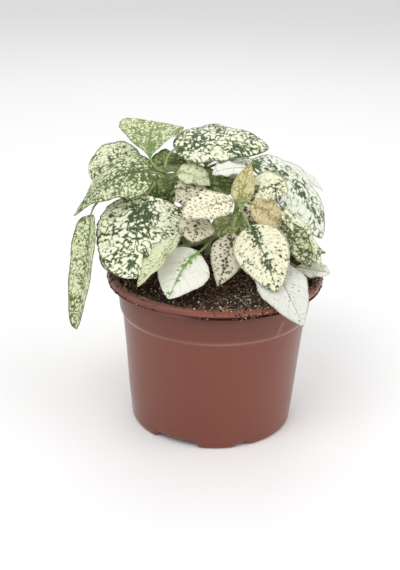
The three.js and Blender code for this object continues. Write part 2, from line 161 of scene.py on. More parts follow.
def turned(outline, sides):
    """An outline from axis to axis turned round Z: points as rows, sides, XYZ in mm, and the faces of
    the closed body. Its first and last rows are one point each."""
    turns = 2 * np.pi * np.arange(sides) / sides
    radius = outline[:, 0][:, None]
    grid = np.stack([radius * np.sin(turns), -radius * np.cos(turns), np.repeat(outline[:, 1:], sides, 1)], 2)
    rows = len(outline) - 2
    last = 1 + rows * sides
    first_faces = [(0, 1 + (s + 1) % sides, 1 + s) for s in range(sides)]
    last_faces = [(last - sides + s, last - sides + (s + 1) % sides, last) for s in range(sides)]
    return grid, first_faces + bands(rows, sides, first=1) + last_faces


def closed_points(grid):
    """The points of a turned grid, with its first and last rows as one point each."""
    return np.concatenate([grid[0, :1], grid[1:-1].reshape(-1, grid.shape[2]), grid[-1, :1]])


def scalloped(grid):
    """Lifts the edge of the foot off the surface at the notches, three times round."""
    x, y, z = np.moveaxis(grid, 2, 0)
    turn = np.degrees(np.arctan2(x, -y))
    lift = np.zeros_like(x)
    for start, end, height in NOTCHES:
        half = (end - start) / 2
        past = (turn - start) % NOTCH_REPEAT
        offset = np.minimum(abs(past - half), abs(past - half - NOTCH_REPEAT))
        lift += height * (1 - smoothstep(half - NOTCH_SLOPE / 2, half + NOTCH_SLOPE / 2, offset))
    inside = FOOT_RADIUS - FEET_WIDTH
    outer = smoothstep(inside - 3, inside, np.hypot(x, y))
    low = 1 - smoothstep(2, NOTCH_TOP + 2, z)
    grid[..., 2] += lift * outer * low
    return grid


def in_scene(name, data):
    """A new object in the scene."""
    made = bpy.data.objects.new(name, data)
    bpy.context.scene.collection.objects.link(made)
    return made


def object_of(name, points, faces, materials=()):
    """A smooth mesh object from points in mm."""
    mesh = bpy.data.meshes.new(name)
    mesh.from_pydata((np.asarray(points) * MM).tolist(), [], faces)
    for material in materials:
        mesh.materials.append(material)
    mesh.shade_smooth()
    return in_scene(name, mesh)


def record(mesh, name, values):
    """Keeps one, three or four numbers at each point of a mesh, for a material or a node tree to read."""
    values = np.asarray(values, np.float32).reshape(len(mesh.vertices), -1)
    kinds = {1: ("FLOAT", "value"), 3: ("FLOAT_VECTOR", "vector"), 4: ("FLOAT_COLOR", "color")}
    kind, field = kinds[values.shape[1]]
    mesh.attributes.new(name, kind, "POINT").data.foreach_set(field, values.ravel())


def applied(piece):
    """The plain mesh that an object's modifiers make. They are then removed."""
    mesh = bpy.data.meshes.new_from_object(piece.evaluated_get(bpy.context.evaluated_depsgraph_get()))
    piece.modifiers.clear()
    return mesh


# The soil follows the same floor and wall as the pot, a little inside.
def floor_corners(rise):
    """The floor from its middle pad over the raised channel to the foot, so much higher up."""
    channel_end = FOOT_RADIUS - FEET_WIDTH - 1
    return [
        (0, rise, 0),
        (PAD_RADIUS, rise, 1.2),
        (PAD_RADIUS + CHANNEL_SLOPE, rise + FLOOR_LIFT, 1.5),
        (channel_end - CHANNEL_SLOPE, rise + FLOOR_LIFT, 1.5),
        (channel_end, rise, 1),
    ]


def wall_corners(inset):
    """The wall at the stacking step, so much further in."""
    return [
        (COLLAR_BOTTOM_RADIUS - STEP_WIDTH - inset, STEP_HEIGHT - STEP_DROP, 0.8),
        (COLLAR_BOTTOM_RADIUS - inset, STEP_HEIGHT, 0.9),
    ]


def lip_shade_and_highlight(tree, sideways, height):
    """Painted shade in the lip's groove, towards its top and in the corner under it, and a painted highlight
    on the lip over the groove, both from the front to the right.
    """
    along_lip = add(tree, "ShaderNodeMapRange", {
        "Value": height, "From Min": (LIP_BOTTOM - 5) * MM, "From Max": POT_HEIGHT * MM,
    })
    groove_shade_ramp = add(tree, "ShaderNodeValToRGB", {0: along_lip})
    # Each pair is a share of that way up and how dark the painted shade is there.
    under_lip = ((0.36, 0.25), (0.46, 0.0))
    in_groove = ((0.53, 0.9), (0.65, 0.9), (0.7, 0.0), (0.82, 0.0))
    on_top = ((0.9, 0.5),)
    for share, darkness in under_lip + in_groove + on_top:
        groove_shade_ramp.color_ramp.elements.new(share).color = (darkness, darkness, darkness, 1)
    groove_shade_ramp.color_ramp.elements[-1].color = (0.5, 0.5, 0.5, 1)
    front_right = add(tree, "ShaderNodeMapRange", {
        "Value": sideways, "From Min": -20 * MM, "From Max": -6 * MM, "To Min": 0.1,
    })
    painted_groove_shade = add(tree, "ShaderNodeMath", {0: groove_shade_ramp, 1: front_right}, operation="MULTIPLY")
    # A painted highlight lightens the lip's face above the groove, from the front to the right.
    over_groove = add(tree, "ShaderNodeMapRange", {
        "Value": height, "From Min": (LIP_GROOVE + 0.7) * MM, "From Max": (LIP_GROOVE + 1.5) * MM,
        "To Max": 0.3,
    })
    painted_lip_highlight = add(tree, "ShaderNodeMath", {0: over_groove, 1: front_right}, operation="MULTIPLY")
    return painted_groove_shade, painted_lip_highlight


# Thermoformed polypropylene: satin, a little cloudy, paler where the sheet was stretched at the step and the
# crease, with a painted highlight in that pale band along the step, fine drawing marks down the wall and soil
# dust near the lip. From the front to the right, painted shade darkens the lip's groove and the corner under
# the lip, and a painted highlight lightens the lip over the groove. Scales are written as grains along a mm,
# so the clouds are about 36 mm wide.
def pot_plastic():
    material, tree, shader = new_material("thermoformed_polypropylene")
    place = add(tree, "ShaderNodeTexCoord").outputs["Object"]
    sideways, _, height = add(tree, "ShaderNodeSeparateXYZ", {0: place}).outputs
    whitened_and_lit = add(tree, "ShaderNodeAttribute", attribute_name="whitening_and_highlight").outputs["Fac"]
    drawn_out = add(tree, "ShaderNodeMapping", {
        "Vector": place, "Scale": (0.09 / MM, 0.09 / MM, 0.006 / MM),
    })
    streaks = add(tree, "ShaderNodeTexNoise", {"Vector": drawn_out, "Scale": 1.0, "Detail": 3.0})
    clouds = add(tree, "ShaderNodeTexNoise", {"Vector": place, "Scale": 0.028 / MM, "Detail": 4.0})
    collar = add(tree, "ShaderNodeMapRange", {
        "Value": height, "From Min": (STEP_HEIGHT - 0.5) * MM, "From Max": (STEP_HEIGHT + 0.5) * MM,
        "To Max": 0.3,
    })
    painted_groove_shade, painted_lip_highlight = lip_shade_and_highlight(tree, sideways, height)
    near_lip = add(tree, "ShaderNodeMapRange", {
        "Value": height, "From Min": (LIP_BOTTOM - 5.5) * MM, "From Max": (LIP_BOTTOM + 3.5) * MM,
    })
    dust = add(tree, "ShaderNodeTexNoise", {
        "Vector": place, "Scale": 0.26 / MM, "Detail": 5.0, "Roughness": 0.7,
    })
    specks = add(tree, "ShaderNodeMapRange", {"Value": dust, "From Min": 0.56, "From Max": 0.68})
    dusty = add(tree, "ShaderNodeMath", {0: near_lip, 1: specks}, operation="MULTIPLY")
    colour = linear("#693323")
    # Among these tints, #3a150d is painted shade in and under the lip's groove, #a8664e a painted highlight
    # on the lip, and the pale strain tint is also a painted highlight along the step.
    for share, tint in (
        (clouds, "#7d4230"), (streaks, "#753d2c"), (whitened_and_lit, "#9c6a5c"), (collar, "#52261a"),
        (painted_groove_shade, "#3a150d"), (dusty, "#3c241c"), (painted_lip_highlight, "#a8664e"),
    ):
        layer = {0: share, 6: colour, 7: linear(tint)}
        colour = add(tree, "ShaderNodeMix", layer, data_type="RGBA").outputs[2]
    cloudy_gloss = add(tree, "ShaderNodeMapRange", {
        "Value": clouds, "From Min": 0.3, "From Max": 0.7, "To Min": 0.36, "To Max": 0.46,
    })
    # Where shade is painted, sheen and shine are turned down too, so that it stays dark.
    unshaded = add(tree, "ShaderNodeMath", {0: 1.0, 1: painted_groove_shade}, operation="SUBTRACT")
    satin = add(tree, "ShaderNodeMath", {0: unshaded, 1: 0.32}, operation="MULTIPLY")
    shine = add(tree, "ShaderNodeMath", {0: unshaded, 1: 0.5}, operation="MULTIPLY")
    grain = add(tree, "ShaderNodeTexNoise", {"Vector": place, "Scale": 0.9 / MM, "Detail": 2.0})
    relief = add(tree, "ShaderNodeMath", {0: streaks, 1: grain}, operation="ADD")
    bump = add(tree, "ShaderNodeBump", {"Height": relief, "Strength": 0.25, "Distance": 0.15 * MM})
    give(tree, shader, {
        "Base Color": colour, "Roughness": cloudy_gloss, "IOR": 1.49, "Specular IOR Level": shine,
        "Sheen Weight": satin, "Sheen Roughness": 0.3, "Normal": bump,
    })
    return material


def pot_outline():
    """The outside from the floor's middle up to the lip, and back down inside."""
    outside = [
        *floor_corners(0),
        (FOOT_RADIUS, 0, 2),
        *wall_corners(0),
        (COLLAR_TOP_RADIUS, LIP_BOTTOM - 0.6, 0.6),
        (RIM_RADIUS - 0.8, LIP_BOTTOM, 0.5),
        (RIM_RADIUS - 0.1, LIP_GROOVE - GROOVE_WIDTH / 2, 0.3),
        (RIM_RADIUS - GROOVE_DEPTH, LIP_GROOVE, 0.3),
        (RIM_RADIUS, LIP_GROOVE + GROOVE_WIDTH / 2, 0.5),
        (RIM_RADIUS - 0.1, POT_HEIGHT - 1, 0.7),
        (RIM_RADIUS - 1.2, POT_HEIGHT, 0.8),
    ]
    inside = [
        *floor_corners(SHEET),
        (FOOT_RADIUS - SHEET, SHEET, 2),
        *wall_corners(SHEET),
        (COLLAR_TOP_RADIUS - SHEET, LIP_BOTTOM, 0.8),
        (RIM_RADIUS - 4.5, POT_HEIGHT - 1.6, 0.8),
        (RIM_RADIUS - 3.3, POT_HEIGHT - 0.2, 0.6),
        (RIM_RADIUS - 2.4, POT_HEIGHT - 0.5, 0.4),
    ]
    return spaced(rounded([*outside, *inside[::-1]]), OUTLINE_GAP)


def make_pot():
    grid, faces = turned(pot_outline(), POT_SIDES)
    turn = np.degrees(np.arctan2(grid[..., 0], -grid[..., 1]))
    lean = np.radians(turn)
    height = grid[..., 2]
    radius = np.hypot(grid[..., 0], grid[..., 1])
    # The sheet cooled unevenly, so the wall, but not the floor, swells a little here and there.
    on_wall = smoothstep(8, 20, height) * (1 - smoothstep(80, 84, height)) * (radius > 40)
    swells = 0.16 * np.sin(3 * lean + height / 25) + 0.1 * np.sin(7 * lean - height / 14)
    swells += 0.08 * np.sin(height / 9)
    # One crease runs down the collar at the right.
    on_collar = smoothstep(67, 69, height) * (1 - smoothstep(75, 77, height))
    crease_turn = CREASE_TURN - CREASE_LEAN * (CREASE_TOP - height)
    crease = np.exp(-((turn - crease_turn) / CREASE_WIDTH) ** 2) * on_collar
    outward = (swells * on_wall + CREASE_HEIGHT * crease) / np.maximum(radius, 1)
    grid[..., :2] *= 1 + outward[..., None]
    # The pale band along the step is partly stress-whitening and partly a painted highlight on the ledge,
    # which faces up to the light.
    step = np.exp(-((height - STEP_HEIGHT + 0.4) / 1.1) ** 2) * (0.55 + 0.25 * np.sin(5 * lean + 1))
    lip_edge = 0.35 * np.exp(-((height - POT_HEIGHT + 1.2) / 0.7) ** 2)
    whitening_and_highlight = closed_points((step + crease + lip_edge)[..., None])
    pot = object_of("pot", closed_points(scalloped(grid)), faces, [pot_plastic()])
    record(pot.data, "whitening_and_highlight", whitening_and_highlight)
    return pot


# The drainage holes were punched through the channel of the floor.
def punched(pot):
    points = []
    faces = []
    for hole in range(DRAIN_HOLES):
        turn = 2 * math.pi * (hole + 0.5) / DRAIN_HOLES
        first = len(points)
        for z in (-1, 2 * FLOOR_LIFT + 1):
            for i in range(HOLE_SIDES):
                a = 2 * math.pi * i / HOLE_SIDES
                x = DRAIN_CIRCLE * math.cos(turn) + DRAIN_HOLE_RADIUS * math.cos(a)
                y = DRAIN_CIRCLE * math.sin(turn) + DRAIN_HOLE_RADIUS * math.sin(a)
                points.append((x, y, z))
        faces.append([first + i for i in range(HOLE_SIDES)][::-1])
        faces.append([first + HOLE_SIDES + i for i in range(HOLE_SIDES)])
        faces += bands(2, HOLE_SIDES, first)
    punch = object_of("punch", points, faces)
    cut = pot.modifiers.new("holes", "BOOLEAN")
    cut.operation = "DIFFERENCE"
    cut.solver = "EXACT"
    cut.object = punch
    pot.data = applied(pot)
    bpy.data.objects.remove(punch)


pot = make_pot()
punched(pot)
pot.data.set_sharp_from_angle(angle=math.radians(50))
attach(pot, "root")
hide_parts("pot")


# Potting soil: damp peat with bark crumbs, coarse fibres and white perlite, poured in and firmed by
# hand up to just under the lip, and heaped a little in the middle.
SOIL_GAP = 0.5
SOIL_EDGE_HEIGHT = 86
SOIL_CROWN = 3
SOIL_SIDES = 192
SOIL_POINT_GAP = 1
LUMP_HEIGHT = 0.7
GRAIN_HEIGHT = 0.9
LIP_SIDES = 180
PERLITE_HEAP = (21, -40)
PERLITE_HEAP_WIDTH = 17


def soil_top(x, y):
    """Height of the soil over its edge."""
    radius = np.hypot(x, y) / (COLLAR_TOP_RADIUS - SHEET - SOIL_GAP)
    lumps = np.sin(x / 9 + 1) * np.cos(y / 7) + 0.6 * np.sin(x / 5 - y / 6)
    return SOIL_CROWN * (1 - radius * radius) + LUMP_HEIGHT * lumps * (1 - radius ** 6)


# Damp peat: matt and dark brown. Its colour follows the bump, nearly black in the hollows between its crumbs
# as painted shade, and brown on them.
def peat():
    material, tree, shader = new_material("damp_peat")
    place = add(tree, "ShaderNodeTexCoord").outputs["Object"]
    crumbs = add(tree, "ShaderNodeTexNoise", {
        "Vector": place, "Scale": 0.42 / MM, "Detail": 6.0, "Roughness": 0.7,
    })
    # The same noise that sinks the bump darkens the colour: painted shade in the hollows.
    shades = add(tree, "ShaderNodeValToRGB", {0: crumbs})
    for element, share, colour in zip(shades.color_ramp.elements, (0.35, 0.75), ("#0e0706", "#4c3529")):
        element.position = share
        element.color = linear(colour)
    bump = add(tree, "ShaderNodeBump", {"Height": crumbs, "Strength": 0.8, "Distance": 0.8 * MM})
    give(tree, shader, {
        "Base Color": shades, "Roughness": 0.92, "Specular IOR Level": 0.25, "Normal": bump,
    })
    return material


def make_soil():
    inset = SHEET + SOIL_GAP
    edge = COLLAR_TOP_RADIUS - inset - 0.4
    corners = [
        *floor_corners(inset + 1),
        (FOOT_RADIUS - inset, inset + 1, 1),
        *wall_corners(inset),
        (edge, SOIL_EDGE_HEIGHT, 0.6),
    ]
    outline = spaced([*rounded(corners), np.array([0.0, SOIL_EDGE_HEIGHT])], SOIL_POINT_GAP)
    grid, faces = turned(outline, SOIL_SIDES)
    scalloped(grid)
    top = grid[..., 2] > SOIL_EDGE_HEIGHT - 0.2
    x, y = grid[..., 0], grid[..., 1]
    rough = np.array([noise.fractal(Vector((a / 4, b / 4, 3)), 0.7, 2.1, 4) for a, b in zip(x[top], y[top])])
    fade = 1 - (np.hypot(x[top], y[top]) / (edge + 1)) ** 8
    grid[top, 2] += soil_top(x[top], y[top]) + GRAIN_HEIGHT * rough * fade
    return object_of("potting_soil", closed_points(grid), faces, [peat()])


def surface_patch(name, share):
    """A copy of the soil that says, at each point, how thickly grains lie there."""
    patch = in_scene(name, soil.data.copy())
    record(patch.data, "amount", [share(v.co / MM) for v in patch.data.vertices])
    return patch


def scattered(name, surface, grain, material, density, sizes, seed, stretch=(1, 1, 1), tilt=math.pi,
              crumple=0.0):
    """Grains of random size and turn on a surface, by Geometry Nodes, as one plain mesh. The surface's
    attribute named amount thins them out. Density is for a square mm, and sizes are in mm."""
    tree = bpy.data.node_groups.new(name, "GeometryNodeTree")
    values = {
        "Density": density / MM ** 2, "Smallest": sizes[0] * MM, "Largest": sizes[1] * MM,
        "Tilt": tilt, "Crumple": crumple * MM, "Seed": seed,
    }
    tree.interface.new_socket("Surface", in_out="INPUT", socket_type="NodeSocketGeometry")
    for label in values:
        kind = "NodeSocketInt" if label == "Seed" else "NodeSocketFloat"
        tree.interface.new_socket(label, in_out="INPUT", socket_type=kind)
    tree.interface.new_socket("Grains", in_out="OUTPUT", socket_type="NodeSocketGeometry")
    given = add(tree, "NodeGroupInput").outputs
    amount = add(tree, "GeometryNodeInputNamedAttribute", {"Name": "amount"}, data_type="FLOAT")
    thick = add(tree, "ShaderNodeMath", {0: given["Density"], 1: amount}, operation="MULTIPLY")
    points = add(tree, "GeometryNodeDistributePointsOnFaces", {
        "Mesh": given["Surface"], "Density": thick, "Seed": given["Seed"],
    }).outputs
    draw = add(tree, "FunctionNodeRandomValue", {8: given["Seed"]}, data_type="FLOAT").outputs[1]
    few_large = add(tree, "ShaderNodeMath", {0: draw, 1: 3.0}, operation="POWER")
    size = add(tree, "ShaderNodeMapRange", {
        "Value": few_large, "To Min": given["Smallest"], "To Max": given["Largest"],
    })
    scale = add(tree, "ShaderNodeVectorMath", {0: stretch, "Scale": size}, operation="SCALE")
    on_surface = add(tree, "GeometryNodeInstanceOnPoints", {
        "Points": points["Points"], "Instance": grain(tree), "Rotation": points["Rotation"], "Scale": scale,
    })
    lean = add(tree, "FunctionNodeRandomValue", {
        0: (-1, -1, -1), 1: (1, 1, 1), 8: given["Seed"],
    }, data_type="FLOAT_VECTOR")
    leant = add(tree, "ShaderNodeVectorMath", {0: lean, "Scale": given["Tilt"]}, operation="SCALE")
    tumbled = add(tree, "GeometryNodeRotateInstances", {"Instances": on_surface, "Rotation": leant})
    real = add(tree, "GeometryNodeRealizeInstances", {0: tumbled})
    wobble = add(tree, "ShaderNodeTexNoise", {"Scale": 0.7 / MM}).outputs[1]
    centred = add(tree, "ShaderNodeVectorMath", {0: wobble, 1: (0.5, 0.5, 0.5)}, operation="SUBTRACT")
    push = add(tree, "ShaderNodeVectorMath", {0: centred, "Scale": given["Crumple"]}, operation="SCALE")
    bent = add(tree, "GeometryNodeSetPosition", {"Geometry": real, "Offset": push})
    finished = add(tree, "GeometryNodeSetMaterial", {"Geometry": bent, "Material": material})
    add(tree, "NodeGroupOutput", {"Grains": finished})
    modifier = surface.modifiers.new(name, "NODES")
    modifier.node_group = tree
    for item in tree.interface.items_tree:
        if item.name in values:
            modifier[item.identifier] = values[item.name]
    mesh = applied(surface)
    mesh.name = name
    return in_scene(name, mesh)


# Grains about a unit long: a crumb, a flat chip, and a thin strand that is bent in the middle.
def crumb(tree):
    return add(tree, "GeometryNodeMeshIcoSphere", {"Radius": 0.5, "Subdivisions": 1})


def chip(tree):
    return add(tree, "GeometryNodeMeshCube", {"Size": (1, 0.5, 0.25)})


def fibre(tree):
    line = add(tree, "GeometryNodeCurveQuadraticBezier", {
        "Resolution": 6, "Start": (-0.5, 0, 0), "Middle": (0, 0.3, 0.15), "End": (0.5, 0, 0.05),
    })
    section = add(tree, "GeometryNodeCurvePrimitiveCircle", {"Resolution": 4, "Radius": 0.022})
    return add(tree, "GeometryNodeCurveToMesh", {"Curve": line, "Profile Curve": section, "Fill Caps": True})


# Peat, bark, root fibre, perlite and plant hair are matt, and mottled between two colours.
def matt(name, dark, light, grains_per_mm, roughness=0.85):
    material, tree, shader = new_material(name)
    place = add(tree, "ShaderNodeTexCoord").outputs["Object"]
    mottle = add(tree, "ShaderNodeTexNoise", {
        "Vector": place, "Scale": grains_per_mm / MM, "Detail": 3.0,
    })
    spread = add(tree, "ShaderNodeMapRange", {"Value": mottle, "From Min": 0.35, "From Max": 0.65})
    colour = add(tree, "ShaderNodeMix", {
        0: spread, 6: linear(dark), 7: linear(light),
    }, data_type="RGBA").outputs[2]
    give(tree, shader, {"Base Color": colour, "Roughness": roughness})
    return material


# On the lip lie crumbs and root fibres that were spilt when the pot was filled, most at the front
# right and at the sides, and fewer down its edge.
def lip_patch():
    # Each row's radius and height, and how much stays lying there.
    rows = (
        (RIM_RADIUS - 4.2, POT_HEIGHT - 1.2, 1.1),
        (RIM_RADIUS - 3, POT_HEIGHT, 0.8),
        (RIM_RADIUS - 0.9, POT_HEIGHT - 0.2, 0.6),
        (RIM_RADIUS - 0.1, POT_HEIGHT - 2.5, 0.35),
        (RIM_RADIUS, LIP_BOTTOM + 1, 0.12),
    )
    # The turn of each heap's middle, how wide it is and how thick.
    heaps = ((22, 16, 2.0), (-78, 22, 1.4), (86, 15, 3), (160, 25, 0.5), (-160, 25, 0.5))
    everywhere = 0.08
    points = []
    amounts = []
    for radius, height, share in rows:
        for i in range(LIP_SIDES):
            turn = 360 * i / LIP_SIDES - 180
            a = math.radians(turn)
            points.append((radius * math.sin(a), -radius * math.cos(a), height))
            heaped = sum(most * math.exp(-((turn - middle) / width) ** 2) for middle, width, most in heaps)
            amounts.append(share * (everywhere + heaped))
    faces = []
    for side, after, below_after, below in bands(len(rows), LIP_SIDES):
        faces.append((after, below_after, below, side))
    patch = object_of("lip_patch", points, faces)
    record(patch.data, "amount", amounts)
    return patch


# Crumbs, chips and fibres lie evenly on the soil's top. Perlite and bark dust lie thickest at the
# front right.
def crumb_share(p):
    return float(p.z > SOIL_EDGE_HEIGHT - 1)


def speck_share(p):
    from_heap = math.dist(p.xy, PERLITE_HEAP) / PERLITE_HEAP_WIDTH
    return crumb_share(p) * (0.35 + 1.9 * math.exp(-from_heap ** 2))


soil = make_soil()
soil_face = surface_patch("soil_face", crumb_share)
speck_face = surface_patch("speck_face", speck_share)
lip_face = lip_patch()
peat_grain = matt("peat_crumb", "#120a08", "#52392c", 0.42)
perlite_grain = matt("expanded_perlite", "#b9b2a4", "#e9e4d8", 0.9)
bark_chip = matt("composted_bark", "#2e1a12", "#7b543b", 0.5)
bark_dust = matt("bark_dust", "#7b6350", "#d8c8ac", 0.3)
root_fibre = matt("coir_fibre", "#7a5a43", "#c9a683", 0.4)
litter = [
    scattered("peat_crumbs", soil_face, crumb, peat_grain, 0.42, (0.5, 2.6), 3, (1.1, 0.9, 0.8), crumple=0.9),
    scattered("perlite", speck_face, crumb, perlite_grain, 0.06, (0.35, 1.7), 5, crumple=0.7),
    scattered("soil_specks", speck_face, crumb, bark_dust, 0.5, (0.3, 1.3), 6, crumple=0.4),
    scattered("bark_chips", soil_face, chip, bark_chip, 0.05, (1.2, 5.0), 8, tilt=0.7, crumple=0.5),
    scattered("soil_fibres", soil_face, fibre, root_fibre, 0.03, (3.0, 9.0), 11, tilt=0.5, crumple=1.5),
    scattered("lip_crumbs", lip_face, crumb, peat_grain, 1.0, (0.3, 1.7), 14, crumple=0.5),
    scattered("lip_specks", lip_face, crumb, bark_dust, 0.8, (0.3, 0.9), 16, crumple=0.2),
    scattered("lip_fibres", lip_face, fibre, root_fibre, 0.35, (1.5, 6.5), 19, tilt=0.45, crumple=1.8),
]
for patch in (soil_face, speck_face, lip_face):
    bpy.data.objects.remove(patch)
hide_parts("potting_soil")
for piece in [soil, *litter]:
    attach(piece, "root")


# Leafy stems: five soft green shoots from the soil. Each grew in one piece with its leaf stalks and
# its leaves, which stand in opposite pairs at the joints. A shoot is a side branch of its stem.
STEM_FOOT = 74.3
STEM_RADIUS = 1.9
SHOOT_RADIUS = 1.7
SHOOT_JOINTS = (0.45, 1.0)
SHOOT_END = 0.97
STALK_RADIUS = 0.85
STEM_RINGS = 60
STEM_SIDES = 14
STALK_RINGS = 16
STALK_SIDES = 10
JOINT_SWELLING = 0.3
JOINT_LENGTH = 0.022
STALK_INTO_BLADE = 2.5
BLADE_THICKNESS = 0.36
BLADE_ROWS = 54
BLADE_COLUMNS = 28
WAVES_PER_BLADE = 3
VEIN_PAIRS = 7
VEIN_LEAN = 1.6
QUILT_HEIGHT = 0.28
RIB_FURROW_DEPTH = 0.45
RIB_FURROW_WIDTH = 0.9
RIB_HEIGHT = 0.55
RIB_WIDTH = 0.7

# A stem's route in mm, and where its joints are as shares of it.
stems = {
    "leafy_stem_1": dict(
        route=((-14, 8, 92), (-18, 7, 106), (-25, 7, 124), (-30, 8, 141)), joints=(0.35, 0.7, 0.97)),
    "leafy_stem_2": dict(
        route=((6, -8, 92), (7, -10, 104), (9, -13, 119), (11, -15, 134)), joints=(0.3, 0.66, 0.97),
        shoot=((4, -14, 114), (-10, -18, 111), (-25, -22, 107))),
    "leafy_stem_3": dict(
        route=((23, 12, 92), (24, 12, 106), (25, 12, 124), (25, 10, 140)), joints=(0.3, 0.65, 0.97)),
    "leafy_stem_4": dict(
        route=((-4, 24, 92), (-5, 26, 106), (-6, 29, 122), (-7, 32, 138)), joints=(0.35, 0.7, 0.97)),
    "leafy_stem_5": dict(
        route=((15, 28, 92), (17, 30, 102), (20, 34, 114), (22, 37, 125)), joints=(0.4, 0.7, 0.97)),
}

# How the leaves are marked: flecks on a paler ground, size mm apart. Green says how much of the blade
# they cover, about a third at -0.13 and a few dots at -0.3. Along the rib, within rib_reach mm,
# rib_green is added to it. The rib is a line rib_width mm wide, and rim is how dark the margin is.
# Dotted is 0 for ragged strokes and 1 for round dots. A leaf may change any of these for itself.
looks = {
    "network": dict(
        ground="#ebedcf", fleck="#34491a", size=2.9, green=-0.13, rib_green=0.2, rib_reach=8.0,
        rib="#435c2c", rib_width=0.5, rim=0.9),
    "speckled": dict(
        ground="#e9eecb", fleck="#435522", size=2.0, green=-0.12, rib_green=0.05, rib_reach=4,
        rib="#6d7c45", rim=0.8),
    "misty": dict(
        ground="#d6dcb4", fleck="#53632b", size=2.3, green=-0.1, rib_reach=6, rib="#566a38", rib_width=0.7,
        rim=0.85),
    "cream": dict(
        ground="#e9e3c8", fleck="#33371a", size=1.9, green=-0.19, rib_green=0.04, rib="#7d8552",
        rib_width=0.35, dotted=1),
    "striped": dict(
        ground="#e7e5c6", fleck="#2f3f18", size=2.1, green=-0.175, rib_green=0.4, rib_reach=2.8,
        rib="#3f5a30", rib_width=0.5, rim=0.5, dotted=0.4),
    "white": dict(
        ground="#e2e3d8", fleck="#49593a", size=2.2, green=-0.42, rib_reach=1.5, rib="#59693f", rim=0.25,
        dotted=1),
    "bright_rib": dict(
        ground="#e0dfd2", fleck="#6b8c38", size=2.2, green=-0.42, rib_green=0.62, rib_reach=2.6,
        rib="#6f9440", rib_width=0.9, rim=0.1, dotted=0.3),
    "pearl": dict(
        ground="#e2e5d3", fleck="#41542a", size=3.5, green=-0.22, rib_green=0.34, rib_reach=4.5,
        rib="#50693e", rib_width=0.5, rim=0.8),
    # Partly the greyish beige of these leaves and partly painted shade, for leaves that hang in shade under
    # others.
    "beige": dict(
        ground="#d3cdb4", fleck="#272a12", size=2.1, green=-0.175, rib_green=0.26, rib_reach=1.6,
        rib="#4f5530", dotted=1),
    "young": dict(ground="#d7cfa4", fleck="#94904a", size=1.5, green=-0.12, rib="#8f9240", rib_width=0.5),
    "fresh": dict(
        ground="#d6dab4", fleck="#6c8040", size=1.7, green=-0.06, rib_green=0.34, rib_reach=3.5,
        rib="#6d8a3c", rib_width=1.3, rim=0.6),
    "tan": dict(ground="#d2c196", fleck="#8a7f4a", size=1.8, green=-0.2, rib="#9a8a52"),
    # The near half of the folded leaf at the right, whose far half is edge_right: its olive ground and dark
    # streaks are partly its own marks and partly painted shade for the half turned from the light.
    "shaded_olive": dict(
        ground="#b9c094", fleck="#3f4a24", size=2.2, green=-0.06, rib="#3c4520", rib_width=0.6, rim=0.6),
    "plain": dict(ground="#d8dcb8", fleck="#7f8652", size=2.4, green=-0.23, rib_reach=2, rib="#8a935c"),
    "sprout": dict(
        ground="#b7be88", fleck="#76844a", size=1.7, green=-0.04, rib="#7d8a4c", rib_width=0.6, rim=0.5),
    # The small leaves deep in the hubs: their dark olive tone is partly their own green and partly painted
    # shade for the deep shade there.
    "green": dict(
        ground="#8f9b62", fleck="#4c5f2c", size=1.7, green=-0.02, rib="#3f4f22", rib_width=0.6, rim=0.5),
}

